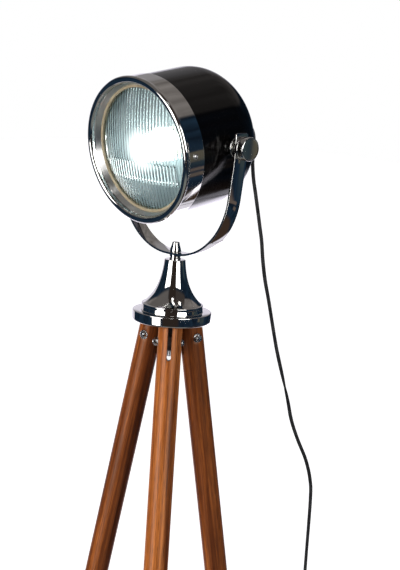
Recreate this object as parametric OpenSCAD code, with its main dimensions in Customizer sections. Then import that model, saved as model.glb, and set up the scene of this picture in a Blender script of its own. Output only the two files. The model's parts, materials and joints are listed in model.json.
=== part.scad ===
// Tripod spotlight floor lamp: a tilting headlamp-style head in a yoke on three folding wooden legs.
// Millimetres. Z is up, the floor is z = 0, the lamp axis is x = y = 0 and the lamp faces -Y.

/* [Tripod] */
// Diameter of a round wooden leg
leg_d = 33; // [26:1:40]
// Length of a leg below its hinge bolt, along the leg, to the floor
leg_reach = 1090; // [700:10:1300]
// Angle of an opened leg from the vertical
leg_splay = 10.5; // [6:0.5:16]
// Depth of the hinge bolts below the base disc
hinge_drop = 23.5; // [20:0.5:30]
// Direction of the rear leg, seen from above
leg_turn = 75.8; // [60:0.1:100]
// Thickness of the steel tongue in each leg top
tongue_t = 5; // [3:0.5:8]
// Length of the slot below the hinge bolt
slot_below = 22; // [16:1:40]
// Diameter of the hinge bolts
hinge_bolt_d = 6; // [4:1:8]
// Thickness of the rubber foot pads
pad_h = 14; // [10:1:25]

/* [Base] */
// Diameter of the base disc
disc_d = 109; // [105:1:140]
// Height of the base disc
disc_h = 14.2; // [8:0.1:25]
// Height of the step on top of the disc
boss_h = 5.6; // [3:0.1:10]
// Diameter of the bell at its foot
bell_foot_d = 85.2; // [70:0.1:100]
// Diameter of the bell at its top
bell_top_d = 29.2; // [24:0.1:40]
// Height of the bell
bell_h = 65.7; // [50:0.1:120]
// Wall of the bell
bell_wall = 1.5; // [1:0.1:3]
// Diameter of the neck washer and of the finial's foot
neck_d = 15.6; // [14:0.1:22]
// Height of the neck washer
neck_h = 7.2; // [3:0.1:20]
// Height of the finial nut
finial_h = 14; // [12:0.5:24]
// Diameter of the centre rod
rod_d = 8; // [6:1:8]

/* [Yoke] */
// Width of the yoke strap
strap_w = 22; // [18:0.5:30]
// Thickness of the yoke strap
strap_t = 3; // [2:0.5:4]
// Distance between the head shell and the strap at the pivots
yoke_gap = 14; // [12:0.5:30]
// Bend radius of the yoke
yoke_bend = 97.5; // [80:0.5:99]
// Space between the head's rim and the finial as the head tilts over
swing_gap = 11.1; // [4:0.1:40]
// Height of the strap's ends above the pivots
strap_end = 19; // [12:0.5:30]
// Diameter of the pivot studs
stud_d = 8; // [6:1:10]

/* [Head] */
// Forward tilt of the head as it stands
head_tilt = 9.8; // [-30:0.1:30]
// Outer diameter of the head shell
shell_d = 190; // [150:1:230]
// Wall of the head shell
shell_wall = 1.2; // [0.8:0.1:3]
// Length of the straight shell behind the pivots
shell_rear = 18; // [5:1:30]
// Radius of the dome's shoulder
dome_shoulder = 57; // [45:1:60]
// Depth of the dome behind the straight shell
dome_h = 69.5; // [62:0.5:80]
// Distance of the bezel's front lip from the pivots
lip_front = 85.4; // [75:0.1:110]
// Width of the bezel band behind the lip
band_w = 34; // [24:0.5:50]
// Thickness of the bezel's sheet
band_wall = 1.4; // [1:0.1:2]
// Radius of the rolled lip's section
lip_roll = 4.5; // [3:0.1:6]
// Width of the bezel's face between the shell and the edge of the glass
face_w = 11.1; // [10:0.1:16]
// Distance of the glass's edge behind the front lip
lens_set = 17.3; // [14:0.1:24]
// Bulge of the glass
lens_bulge = 10; // [4:0.5:16]
// Thickness of the glass
lens_t = 4; // [3:0.5:6]
// Diameter of the bulb's globe
globe_d = 45; // [35:1:50]

/* [Clamp knobs] */
// Diameter of a clamp knob
knob_d = 31; // [24:1:40]
// Length of a clamp knob
knob_l = 16.4; // [12:0.1:30]
// Diameter of the pivot spacer's flange
spacer_d = 27; // [18:1:34]

/* [Cord] */
// Width of the flat twin cord
cord_d = 5.6; // [4:0.1:7]
// Turns of the coil in each of its two layers
coil_turns = 3; // [2:1:4]
// Radius at the middle of the coil's turns
coil_r = 32; // [30:1:40]

/* [Hidden] */
$fn = 64;
eps = 0.01;

// Named clearances: turning fit, gap between parts that slide or seat, gap beside a leg's tongue
run_gap = 0.06;
seat_gap = 0.1;
tongue_gap = 0.4;
hub_gap = 1.5;

// Sizes inside the head, along its own axis from the pivots (positive is forwards)
shell_r = shell_d / 2;
band_r = shell_r + seat_gap / 2 + band_wall;
lip_r = band_r + 1.4 - lip_roll;
lens_r = shell_r - face_w;
lip_s = lip_front - lip_roll;
band_back = lip_s - band_w + lip_roll;
lens_s = lip_front - lens_set;
gasket_r = lens_r + 2;
gasket_front = lens_s + 3.1;
gasket_back = lens_s - 5.5;
flange_t = 1.1;
ring_front = gasket_back - seat_gap - flange_t;
ring_t = 1.9;
shell_front = ring_front - ring_t - 0.5;
screw_s = lens_s - 1.1;
dome_tip = shell_rear + dome_h;
crown_r = ((shell_r - dome_shoulder) * (shell_r - dome_shoulder) + dome_h * dome_h
    - dome_shoulder * dome_shoulder) / (2 * (dome_h - dome_shoulder));
lens_ball = ((lens_r - 1) * (lens_r - 1) + lens_bulge * lens_bulge) / (2 * lens_bulge);
holder_r = 19.8;
hole_r = holder_r + 1.2;
rim_r = lens_r - 5;
bowl_rise = (ring_front + 0.3) / (rim_r * rim_r - hole_r * hole_r);
globe_s = 36;
gland_l = 24;
gland_r = 6.2;
gland_bore = cord_d / 2 + seat_gap;

// Heights of the stand, from the floor up
pin_z = round(10 * leg_reach * cos(leg_splay)) / 10;
disc_z = pin_z + hinge_drop;
boss_z = disc_z + disc_h;
bell_z = boss_z + boss_h;
neck_z = bell_z + bell_h;
strap_z = neck_z + neck_h;
finial_z = strap_z + strap_t;
swing_r = norm([lip_r, lip_s]) + lip_roll;
yoke_drop = round(10 * (strap_t / 2 + seat_gap + finial_h + swing_gap + swing_r)) / 10;
pivot_z = strap_z + strap_t / 2 + yoke_drop;

// Leg directions, and which leg is which
leg_names = ["rear", "left", "front"];
function leg_angle(i) = leg_turn + 120 * i;
leg_r = leg_d / 2;
leg_top = (hinge_drop - 0.5 - leg_r * sin(leg_splay)) / cos(leg_splay);
hub_r = 12;
hub_h = hinge_drop + 11;
hinge_radius = round(100 * (hub_r + hub_gap + leg_r * cos(leg_splay) + leg_top * sin(leg_splay))) / 100;
bolt_seat = leg_r - 1;

// Across the pivots
pad_in = shell_r + yoke_gap;
pad_out = pad_in + strap_t;
yoke_half = pad_in + strap_t / 2;
knob_x = pad_out + seat_gap;
pad_low = yoke_drop - 17;
flat_half = neck_d / 2;
bend_reach = norm([yoke_half - flat_half, pad_low - yoke_bend]);
lean = acos(yoke_bend / bend_reach) - atan2(pad_low - yoke_bend, yoke_half - flat_half);

// ---------- helpers for revolved and turned work ----------
module tube(h, r, bore) {
    difference() {
        cylinder(h = h, r = r);
        translate([0, 0, -1]) cylinder(h = h + 2, r = bore);
    }
}
module hex_nut(h, flats, bore) {
    difference() {
        cylinder(h = h, r = flats / sqrt(3), $fn = 6);
        translate([0, 0, -1]) cylinder(h = h + 2, r = bore);
    }
}
// Places children in the head's own axes: +Z forwards along the beam, +X along the pivots
module on_head() {
    translate([0, 0, pivot_z]) rotate([90 + head_tilt, 0, 0]) children();
}
// Places children, drawn along +Z from x = 0, outwards along both pivots
module on_pivots() {
    on_head() for (side = [0, 180]) rotate([0, 0, side]) rotate([0, 90, 0]) children();
}
// Places children in a leg's axes: origin at its hinge bolt, +Z up along the leg, +X outwards
module on_leg(i, splay = leg_splay) {
    rotate([0, 0, leg_angle(i)]) translate([hinge_radius, 0, pin_z]) rotate([0, -splay, 0]) children();
}

// ---------- stand ----------
module base_disc() {
    corner = 3;
    color("silver") translate([0, 0, disc_z]) difference() {
        rotate_extrude($fn = 96) union() {
            square([disc_d / 2 - corner, disc_h]);
            translate([0, corner]) square([disc_d / 2, disc_h - corner - 1]);
            square([disc_d / 2 - 1, disc_h - 1]);
            translate([disc_d / 2 - corner, corner]) circle(r = corner);
            translate([disc_d / 2 - 1, disc_h - 1]) circle(r = 1);
            square([bell_foot_d / 2 - 0.4, disc_h + boss_h - 0.4]);
            translate([bell_foot_d / 2 - 0.8, disc_h + boss_h - 0.8]) circle(r = 0.4);
            square([bell_foot_d / 2 - 0.8, disc_h + boss_h - eps]);
        }
        translate([0, 0, -1]) cylinder(h = disc_h + boss_h + 2, r = rod_d / 2 + run_gap);
    }
}

// Trumpet curve of the bell: falls away from the top like an exponential
flare_fall = 24.5;
rim_h = 4.2;
flare_core = bell_top_d / 2 - (bell_foot_d / 2 - bell_top_d / 2) * 0.088;
function flare(z) = flare_core + (bell_foot_d / 2 - 2.4 - flare_core) * exp(-z / flare_fall);
function flare_line(wall) = [for (i = [0 : 24]) let (z = (bell_h - rim_h) * pow(i / 24, 1.4))
    [flare(z) - wall, rim_h + min(z, bell_h - rim_h - wall)]];
module bell() {
    color("silver") translate([0, 0, bell_z]) rotate_extrude($fn = 96) difference() {
        union() {
            square([bell_foot_d / 2 - 0.8, rim_h]);
            translate([0, 0.8]) square([bell_foot_d / 2, rim_h - 1.6]);
            translate([bell_foot_d / 2 - 0.8, 0.8]) circle(r = 0.8);
            translate([bell_foot_d / 2 - 0.8, rim_h - 0.8]) circle(r = 0.8);
            polygon(concat([[0, 0.5]], [[flare(0), 0.5]], flare_line(0), [[0, bell_h]]));
        }
        polygon(concat([[0, -1], [flare(0) - bell_wall, -1]], flare_line(bell_wall),
            [[0, bell_h - bell_wall]]));
        translate([0, -1]) square([rod_d / 2 + run_gap, bell_h + 2]);
    }
}
module neck_washer() {
    color("gainsboro") translate([0, 0, neck_z]) rotate_extrude() difference() {
        union() {
            square([neck_d / 2, neck_h - 1]);
            square([neck_d / 2 - 1, neck_h]);
            translate([neck_d / 2 - 1, neck_h - 1]) circle(r = 1);
        }
        translate([0, -1]) square([rod_d / 2 + run_gap, neck_h + 2]);
        translate([neck_d / 2 + 0.9, neck_h * 0.42]) circle(r = 1.6);
    }
}
tongue_r = 11;
module hinge_bracket() {
    color("dimgray") difference() {
        union() {
            translate([0, 0, disc_z - hub_h]) cylinder(h = hub_h, r = hub_r);
            for (i = [0 : 2]) rotate([0, 0, leg_angle(i)]) translate([0, 0, pin_z]) rotate([90, 0, 0])
                translate([0, 0, -tongue_t / 2]) linear_extrude(tongue_t) {
                    translate([hinge_radius, 0]) circle(r = tongue_r);
                    translate([0, -tongue_r]) square([hinge_radius, 2 * tongue_r]);
                    square([hinge_radius, hinge_drop - 2]);
                }
        }
        translate([0, 0, disc_z - hub_h - 1]) cylinder(h = hub_h + 2, r = rod_d / 2 + run_gap);
        for (i = [0 : 2]) on_leg(i) rotate([90, 0, 0]) translate([0, 0, -leg_d])
            cylinder(h = 2 * leg_d, r = hinge_bolt_d / 2 + run_gap / 2);
    }
}
rod_low = disc_z - hub_h - 16;
rod_top = finial_z + finial_h - 5;
module centre_rod() {
    color("darkgray") translate([0, 0, rod_low]) union() {
        cylinder(h = rod_top - rod_low - 1, r = rod_d / 2);
        translate([0, 0, rod_top - rod_low - 1]) cylinder(h = 1, r1 = rod_d / 2, r2 = rod_d / 2 - 1);
    }
}
module rod_washer() {
    color("lightgray") translate([0, 0, disc_z - hub_h - 1.65]) tube(1.6, hub_r - 1, rod_d / 2 + run_gap);
}
module rod_nut() {
    color("lightgray") translate([0, 0, disc_z - hub_h - 8.25])
        hex_nut(6.5, 1.6 * rod_d, rod_d / 2 + run_gap / 3);
}

// Hinge bolts: a domed head on one side of each leg, washer and nut on the other
head_h = 3.4;
washer_t = 1;
module on_bolt(i) {
    on_leg(i) rotate([90, 0, 0]) children();
}
module dome_head(r, h) {
    intersection() {
        cylinder(h = h, r = r);
        translate([0, 0, h - (r * r + h * h) / (2 * h)]) sphere(r = (r * r + h * h) / (2 * h));
    }
}
module hinge_bolts() {
    color("silver") for (i = [0 : 2]) on_bolt(i) union() {
        translate([0, 0, -bolt_seat - 1]) cylinder(h = 2 * bolt_seat + 9, r = hinge_bolt_d / 2);
        translate([0, 0, -bolt_seat - washer_t - seat_gap / 2]) rotate([180, 0, 0])
            dome_head(hinge_bolt_d * 0.85, head_h);
    }
}
module hinge_washers() {
    color("gainsboro") for (i = [0 : 2]) on_bolt(i) for (side = [-1, 1])
        translate([0, 0, side * (bolt_seat + seat_gap / 2 + washer_t / 2) - washer_t / 2])
            tube(washer_t, hinge_bolt_d * 1.05, hinge_bolt_d / 2 + run_gap);
}
module hinge_nuts() {
    color("lightgray") for (i = [0 : 2]) on_bolt(i) translate([0, 0, bolt_seat + washer_t + seat_gap / 2])
        hex_nut(4.8, hinge_bolt_d * 1.6, hinge_bolt_d / 2 + run_gap / 3);
}
module finial_nut() {
    top_r = 4.3;
    edge = 1.2;
    color("silver") translate([0, 0, finial_z + seat_gap]) difference() {
        rotate_extrude() union() {
            square([neck_d / 2 - 0.6, 1]);
            translate([neck_d / 2 - 0.6, 0.6]) circle(r = 0.6);
            polygon([[0, 0.6], [neck_d / 2, 0.6], [neck_d / 2, 2.4], [top_r, finial_h - edge],
                [top_r - edge, finial_h], [0, finial_h]]);
        }
        translate([0, 0, -1]) cylinder(h = finial_h - 3.5, r = rod_d / 2 + run_gap);
    }
}

// ---------- yoke ----------
// Right half of a line that runs off beyond the middle of the strap, from the flat part up
yoke_arc = 90 - lean;
function yoke_half_line(off) = concat(
    [for (i = [0 : 24]) [flat_half, yoke_bend] + (yoke_bend + off) * [sin(yoke_arc * i / 24),
        -cos(yoke_arc * i / 24)]],
    [[yoke_half + off, pad_low - off * tan(lean / 2)], [yoke_half + off, yoke_drop + strap_end]]);
function mirrored(line) = [for (i = [len(line) - 1 : -1 : 0]) [-line[i][0], line[i][1]]];
function yoke_line(off) = concat(mirrored(yoke_half_line(off)), yoke_half_line(off));
module yoke_outline() {
    inner = yoke_line(-strap_t / 2);
    polygon(concat(yoke_line(strap_t / 2), [for (i = [len(inner) - 1 : -1 : 0]) inner[i]]));
}
module yoke_strap() {
    corner = 3;
    color("silver") translate([0, 0, strap_z + strap_t / 2]) difference() {
        rotate([90, 0, 0]) translate([0, 0, -strap_w / 2]) linear_extrude(strap_w) yoke_outline();
        for (side = [-1, 1]) {
            translate([side * yoke_half, 0, yoke_drop]) rotate([0, 90, 0])
                cylinder(h = 2 * strap_t, r = stud_d / 2 + run_gap, center = true);
            for (edge = [-1, 1]) translate([side * yoke_half, edge * strap_w / 2, yoke_drop + strap_end])
                difference() {
                    cube([2 * strap_t, 2 * corner, 2 * corner], center = true);
                    translate([0, -edge * corner, -corner]) rotate([0, 90, 0])
                        cylinder(h = 3 * strap_t, r = corner, center = true);
                }
        }
        translate([0, 0, -strap_t]) cylinder(h = 2 * strap_t, r = rod_d / 2 + run_gap);
    }
}

// ---------- head ----------
// Half section of the dome: straight wall, shoulder arc and crown arc, all moved inwards by off
module dome_half(off) {
    crown_s = crown_r - dome_tip;
    shoulder = [shell_r - dome_shoulder, -shell_rear];
    toward = shoulder - [0, crown_s];
    intersection() {
        union() {
            translate([0, -shell_rear]) square([shell_r - off, shell_rear + shell_front]);
            translate(shoulder) circle(r = dome_shoulder - off, $fn = 128);
            intersection() {
                translate([0, crown_s]) circle(r = crown_r - off, $fn = 180);
                polygon([[0, crown_s], [0, crown_s - 2 * crown_r],
                    [0, crown_s] + 2 * crown_r * toward / norm(toward)]);
            }
        }
        translate([0, -dome_tip - 1]) square([shell_r + 1, dome_tip + 1 + shell_front]);
    }
}
module head_shell() {
    color("#101012") on_head() difference() {
        rotate_extrude($fn = 128) difference() {
            dome_half(0);
            dome_half(shell_wall);
            translate([-1, shell_front - 1]) square([shell_r - shell_wall + 1, 3]);
        }
        rotate([0, 90, 0]) cylinder(h = 3 * shell_r, r = stud_d / 2 + run_gap, center = true);
        translate([0, 0, -dome_tip - 5]) cylinder(h = 10, r = gland_r + seat_gap);
    }
}
module on_screws() {
    on_head() for (i = [0 : 2]) rotate([0, 0, 120 * i]) translate([0, 0, screw_s]) rotate([0, 90, 0])
        children();
}
screw_r = 2;
module bezel_ring() {
    wall_top = lip_r - lip_roll;
    wall_low = lens_r + 0.1;
    seat_s = gasket_front + seat_gap;
    color("silver") difference() {
        on_head() rotate_extrude($fn = 128) union() {
            translate([band_r - band_wall, band_back]) square([band_wall, lip_s - band_back]);
            translate([lip_r, lip_s]) circle(r = lip_roll);
            polygon([[wall_top, lip_s], [wall_low, seat_s], [wall_low + band_wall, seat_s],
                [wall_top + 2 * band_wall, lip_s]]);
        }
        on_screws() cylinder(h = 2 * shell_r, r = screw_r + seat_gap);
    }
}
module bezel_screws() {
    color("gainsboro") on_screws() union() {
        translate([0, 0, gasket_r + 1.5]) cylinder(h = band_r - gasket_r, r = screw_r);
        translate([0, 0, band_r + seat_gap]) dome_head(3.7, 2.2);
    }
}
module lens_gasket() {
    color("#b09a72") on_head() rotate_extrude($fn = 128) difference() {
        translate([lens_r - 2.9, gasket_back]) square([2.9 + gasket_r - lens_r, gasket_front - gasket_back]);
        translate([0, lens_s - lens_t - 0.6]) square([lens_r + 0.2, lens_t + 1.3]);
    }
}
module lens() {
    mid_s = lens_s + lens_bulge - lens_ball;
    color("#bcd3d2") on_head() rotate_extrude($fn = 128) intersection() {
        translate([0, mid_s]) difference() {
            circle(r = lens_ball, $fn = 360);
            circle(r = lens_ball - lens_t, $fn = 360);
        }
        translate([0, lens_s - lens_t - 3]) square([lens_r, lens_t + lens_bulge + 6]);
    }
}
function bowl(r) = 0.7 + bowl_rise * (r * r - hole_r * hole_r);
function bowl_line(drop) = [for (i = [0 : 20]) let (r = hole_r + (rim_r - hole_r) * i / 20)
    [r, bowl(r) - drop]];
module reflector() {
    sheet = 1.6;
    color("#e8ecec") on_head() union() {
        rotate_extrude($fn = 96)
            polygon(concat(bowl_line(0), [for (i = [20 : -1 : 0]) bowl_line(sheet)[i]]));
        translate([0, 0, -11]) tube(11.5, holder_r + 1.6, holder_r + 0.2);
        translate([0, 0, ring_front + seat_gap / 2]) tube(flange_t - seat_gap, gasket_r, rim_r - 0.6);
    }
}
module retaining_ring() {
    lug_in = gasket_r + 1.2;
    lug_w = 16;
    color("darkgray") on_head() difference() {
        union() {
            translate([0, 0, ring_front - ring_t]) tube(ring_t, shell_r - 0.1, rim_r + 1);
            for (i = [0 : 2]) rotate([0, 0, 120 * i])
                translate([lug_in, -lug_w / 2, ring_front - ring_t / 2])
                    cube([shell_r - 1.4 - lug_in, lug_w, gasket_front - ring_front + ring_t / 2]);
        }
        for (i = [0 : 2]) rotate([0, 0, 120 * i]) translate([0, 0, screw_s]) rotate([0, 90, 0])
            cylinder(h = 2 * shell_r, r = screw_r + 0.02);
    }
}
holder_back = -50;
cap_r = 13.3;
cap_back = holder_back + 19;
cap_front = globe_s - 28;
module lamp_holder() {
    color("ivory") on_head() difference() {
        union() {
            translate([0, 0, holder_back + 8]) cylinder(h = 40, r = holder_r);
            translate([0, 0, holder_back]) cylinder(h = 8, r1 = 12, r2 = holder_r);
        }
        translate([0, 0, holder_back + 16]) cylinder(h = 50, r = cap_r + 0.3);
        translate([0, 0, holder_back - 1]) cylinder(h = 30, r = gland_bore);
    }
}
module bulb_cap() {
    color("lightgray") on_head() union() {
        translate([0, 0, cap_back]) cylinder(h = cap_front - cap_back, r = cap_r);
        translate([0, 0, cap_back - 2.5]) cylinder(h = 2.6, r1 = 5, r2 = cap_r - 2);
    }
}
module bulb_globe() {
    neck_s = cap_front + seat_gap;
    color("#fffdf0") on_head() union() {
        translate([0, 0, globe_s]) sphere(d = globe_d);
        translate([0, 0, neck_s]) cylinder(h = globe_s - 12 - neck_s, r1 = cap_r + 0.2, r2 = globe_d * 0.38);
    }
}
module inner_lead() {
    color("#18181a") on_head() translate([0, 0, -dome_tip - gland_l])
        cylinder(h = dome_tip + gland_l + holder_back + 6, r = cord_d / 2 - 0.1);
}
module cord_gland() {
    flange_h = 2.4;
    color("#141416") on_head() translate([0, 0, -dome_tip - 0.1]) rotate([180, 0, 0]) difference() {
        rotate_extrude() union() {
            translate([0, -9]) square([gland_r, 9 + flange_h]);
            square([9, flange_h - 0.8]);
            translate([8.2, flange_h - 0.8]) circle(r = 0.8);
            square([8.2, flange_h]);
            polygon([[0, flange_h], [gland_r, flange_h], [cord_d / 2 + 1.3, gland_l - 0.1],
                [0, gland_l - 0.1]]);
        }
        translate([0, 0, -10]) cylinder(h = gland_l + 20, r = gland_bore);
        for (i = [0 : 3]) translate([0, 0, flange_h + 3 + 4.5 * i]) rotate([0, 0, 90 * (i % 2)])
            for (side = [-1, 1]) translate([side * 6.4, 0, 0]) cube([4, 14, 1.8], center = true);
    }
}
module gland_nut() {
    color("#202022") on_head() translate([0, 0, -dome_tip + shell_wall + 0.7])
        hex_nut(4.5, 2 * gland_r + 3.6, gland_r + run_gap / 3);
}
stud_in = shell_r - 9;
module pivot_studs() {
    color("darkgray") on_pivots() translate([0, 0, stud_in])
        cylinder(h = knob_x + knob_l - 5 - stud_in, r = stud_d / 2);
}
module stud_nuts() {
    color("lightgray") on_pivots() translate([0, 0, shell_r - shell_wall - 7.1])
        hex_nut(6.5, 1.6 * stud_d, stud_d / 2 + run_gap / 3);
}
module pivot_spacers() {
    hub = stud_d / 2 + 3;
    flange_x = pad_in - 6.5;
    color("silver") on_pivots() rotate_extrude() difference() {
        union() {
            translate([0, shell_r + 0.05]) square([hub, flange_x - shell_r]);
            translate([0, flange_x]) square([spacer_d / 2 - 0.8, 2.6]);
            translate([0, flange_x + 0.8]) square([spacer_d / 2, 1]);
            for (edge = [0.8, 1.8]) translate([spacer_d / 2 - 0.8, flange_x + edge]) circle(r = 0.8);
            square([hub - 0.6, pad_in - seat_gap]);
        }
        square([stud_d / 2 + run_gap / 2, 2 * pad_out]);
        square([hub + 1, shell_r + 0.05]);
    }
}
module knob() {
    r = knob_d / 2;
    edge = 1.4;
    step = 2.2;
    color("silver") translate([0, 0, knob_x]) rotate_extrude() difference() {
        union() {
            square([r - 2.6, step + 1]);
            translate([0, step + edge]) square([r, knob_l - step - 2 * edge]);
            translate([0, step]) square([r - edge, knob_l - step]);
            translate([r - edge, step + edge]) circle(r = edge);
            translate([r - edge, knob_l - edge]) circle(r = edge);
        }
        translate([r + 0.3, step + 4.1]) circle(r = 0.9);
        translate([0, -1]) square([stud_d / 2 + run_gap, knob_l - 2.5]);
    }
}
module knob_right() {
    on_head() rotate([0, 90, 0]) knob();
}
module knob_left() {
    on_head() rotate([0, -90, 0]) knob();
}

// ---------- legs ----------
module leg(i) {
    color("#7c3f22") difference() {
        on_leg(i) rotate_extrude() polygon([[0, pad_h - leg_reach], [leg_r, pad_h - leg_reach],
            [leg_r, leg_top - 1.5], [leg_r - 1.5, leg_top], [0, leg_top]]);
        on_leg(i) {
            translate([-leg_d, -tongue_t / 2 - tongue_gap, -slot_below])
                cube([2 * leg_d, tongue_t + 2 * tongue_gap, slot_below + leg_top + 1]);
            translate([0, 0, -slot_below]) rotate([0, 90, 0])
                cylinder(h = 2 * leg_d, r = tongue_t / 2 + tongue_gap, center = true);
            rotate([90, 0, 0]) cylinder(h = 2 * leg_d, r = hinge_bolt_d / 2 + run_gap, center = true);
            for (side = [0, 180]) rotate([90, 0, side]) translate([0, 0, bolt_seat])
                cylinder(h = leg_d, r = hinge_bolt_d * 1.15);
        }
    }
}
module foot_pad(i) {
    wall = 1.8;
    sink = 9;
    color("#1c1c1c") difference() {
        on_leg(i) translate([0, 0, -leg_reach]) rotate_extrude() polygon([[0, -10], [leg_r + wall, -10],
            [leg_r + wall, pad_h + sink - 1], [leg_r + wall - 1, pad_h + sink], [0, pad_h + sink]]);
        on_leg(i) translate([0, 0, pad_h - leg_reach - 0.02]) cylinder(h = pad_h + sink, r = leg_r + 0.05);
        translate([0, 0, -50]) cube([3 * leg_reach, 3 * leg_reach, 100], center = true);
    }
}

// ---------- cord ----------
// Route of the hanging cord from the gland to the switch: chosen points, then the switch's place
switch_pos = [-50, 272];
switch_turn = 205;
switch_l = 66;
switch_w = 30;
entry_z = 9;
lift = 1.2;
cord_r = cord_d / 2;
function unit(v) = v / norm(v);
function flat_dir(a) = [cos(a), sin(a), 0];
function on_switch(along) = [switch_pos[0], switch_pos[1], entry_z] + along * flat_dir(switch_turn);
gland_tip = [0, (dome_tip + gland_l) * cos(head_tilt), pivot_z + (dome_tip + gland_l) * sin(head_tilt)];
gland_dir = [0, cos(head_tilt), sin(head_tilt)];
lead_points = [gland_tip, gland_tip + 6 * gland_dir, [0, 124.7, 1364.1], [0, 133.5, 1361.1], [0, 140, 1355.2],
    [0, 144.5, 1347.4], [0, 146.2, 1338.5], [0, 146.5, 1328], [0, 146.1, 1317], [0, 146.1, 1306],
    [1, 148.3, 1285], [2, 152.5, 1265], [3, 157.5, 1240]];
drop_points = [[3, 157.5, 1239.9], [4, 162.5, 1215], [5, 166.5, 1195], [5, 171, 1167], [6, 177.5, 1137],
    [8, 186, 1107], [10, 196, 1070], [12, 205, 1037], [14, 211.5, 1015], [17, 222, 982], [20, 232, 950],
    [22, 241.5, 918], [26.5, 254, 887], [34, 268, 854], [36.5, 279, 821], [35.5, 285, 788], [32, 290, 695],
    [29, 294, 595], [27, 297, 495], [25, 300, 395], [23, 302, 295], [22, 304, 195], [21, 305, 105],
    [21, 305, 62], [21, 305, 46], [20, 304.5, 34], [16, 302.6, 22.5], [8, 299, 13.7], [-1, 294.8, 9.8]];
nozzle = switch_l / 2 + 8;
drop_route = concat(drop_points, [on_switch(-nozzle - cord_d), on_switch(-nozzle)]);
// Coil: in from the outside, up a layer at the middle, and out again
coil_pitch = cord_d + 0.5;
coil_out = coil_r + coil_pitch * coil_turns / 2;
coil_low = lift + cord_r;
tail_dir = flat_dir(switch_turn);
coil_entry = [on_switch(nozzle)[0], on_switch(nozzle)[1], coil_low] + 42 * tail_dir;
coil_mid = coil_entry - coil_out * flat_dir(switch_turn - 90);
tail_route = [on_switch(nozzle), on_switch(nozzle + cord_d), on_switch(nozzle + 20) - [0, 0, 2.4],
    coil_entry - 10 * tail_dir - cord_d * tail_dir, coil_entry - cord_d * tail_dir];
function smooth(t) = t <= 0 ? 0 : t >= 1 ? 1 : t * t * (3 - 2 * t);
function coil_point(t) = let (
        r = coil_out - coil_pitch * (coil_turns - abs(t - coil_turns)),
        z = coil_low + coil_pitch * smooth((t - coil_turns + 0.25) * 2))
    [coil_mid[0], coil_mid[1], z] + r * flat_dir(switch_turn - 90 + 360 * t);
exit_turn = switch_turn;
plug_z = 7;
coil_exit = coil_point(2 * coil_turns);
function after_coil(along, fall) = coil_exit + along * flat_dir(exit_turn)
    + [0, 0, fall * (plug_z - coil_exit[2])];
coil_route = concat([coil_entry - cord_d * tail_dir],
    [for (i = [0 : 48 * coil_turns]) coil_point(i / 24)],
    [for (k = [[6, 0], [13, 0.05], [20, 0.2], [27, 0.5], [34, 0.8], [41, 0.97], [48, 1]])
        after_coil(k[0], k[1])]);
plug_at = after_coil(48, 1);

// Points on a smooth curve through p, about step apart
function between(a, b, c, d, t) = 0.5 * ((2 * b) + (c - a) * t + (2 * a - 5 * b + 4 * c - d) * t * t
    + (3 * b - a - 3 * c + d) * t * t * t);
function smooth_path(p, step) = let (n = len(p)) concat([for (i = [0 : n - 2]) let (
        a = i == 0 ? 2 * p[0] - p[1] : p[i - 1], d = i == n - 2 ? 2 * p[n - 1] - p[n - 2] : p[i + 2],
        m = max(1, round(norm(p[i + 1] - p[i]) / step)))
    for (k = [0 : m - 1]) between(a, p[i], p[i + 1], d, k / m)], [p[n - 1]]);
function tangent(p, i) = unit(p[min(i + 1, len(p) - 1)] - p[max(i - 1, 0)]);
// Side direction of each ring, carried along the path without twisting
function across(v, t) = unit(v - (v * t) * t);
function sides(p, first) = [for (i = 0, v = across(first, tangent(p, 0)); i < len(p);
    i = i + 1, v = i < len(p) ? across(v, tangent(p, i)) : v) v];
module cord_tube(p, r, n, first = [0, 1, 0.2]) {
    s = sides(p, first);
    rings = [for (i = [0 : len(p) - 1]) let (t = tangent(p, i), u = s[i], w = cross(t, u))
        for (k = [0 : n - 1]) p[i] + r * (cos(360 * k / n) * u + sin(360 * k / n) * w)];
    last = len(rings);
    walls = [for (i = [0 : len(p) - 2]) for (k = [0 : n - 1]) let (a = i * n + k, b = i * n + (k + 1) % n)
        each [[a, a + n, b], [b, a + n, b + n]]];
    ends = [for (k = [0 : n - 1]) each [[last, k, (k + 1) % n],
        [last + 1, last - n + (k + 1) % n, last - n + k]]];
    polyhedron(concat(rings, [p[0], p[len(p) - 1]]), concat(walls, ends));
}
module cord_lead() {
    color("#161616") cord_tube(smooth_path(lead_points, 12), cord_r, 10, [1, 0, 0]);
}
module cord_drop() {
    color("#161616") cord_tube(smooth_path(drop_route, 26), cord_r, 10, [1, 0, 0]);
}
module cord_tail() {
    color("#161616") cord_tube(smooth_path(tail_route, 12), cord_r, 10, [0, 0, 1]);
}
module cord_coil() {
    color("#161616") cord_tube(coil_route, cord_r, 6, [0, 0, 1]);
}
apart = 10;
coil_gap = min([for (i = [0 : len(coil_route) - 1 - apart]) for (j = [i + apart : len(coil_route) - 1])
    norm(coil_route[i] - coil_route[j])]) - cord_d;
echo(str("least gap of the coil to itself: ", coil_gap, " mm"));

module coil_tie() {
    half = coil_pitch * (coil_turns + 1) / 2 - 0.2;
    high = 2 * coil_pitch + lift;
    wall = 1;
    color("#222222") translate([coil_mid[0], coil_mid[1], 0]) rotate([0, 0, switch_turn + 40])
        translate([coil_r + coil_pitch / 4, 1.5, 0]) rotate([90, 0, 0]) linear_extrude(3) difference() {
            translate([-half - wall, 0]) square([2 * (half + wall), high + wall]);
            translate([-half, wall]) square([2 * half, high - wall]);
        }
}

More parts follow.
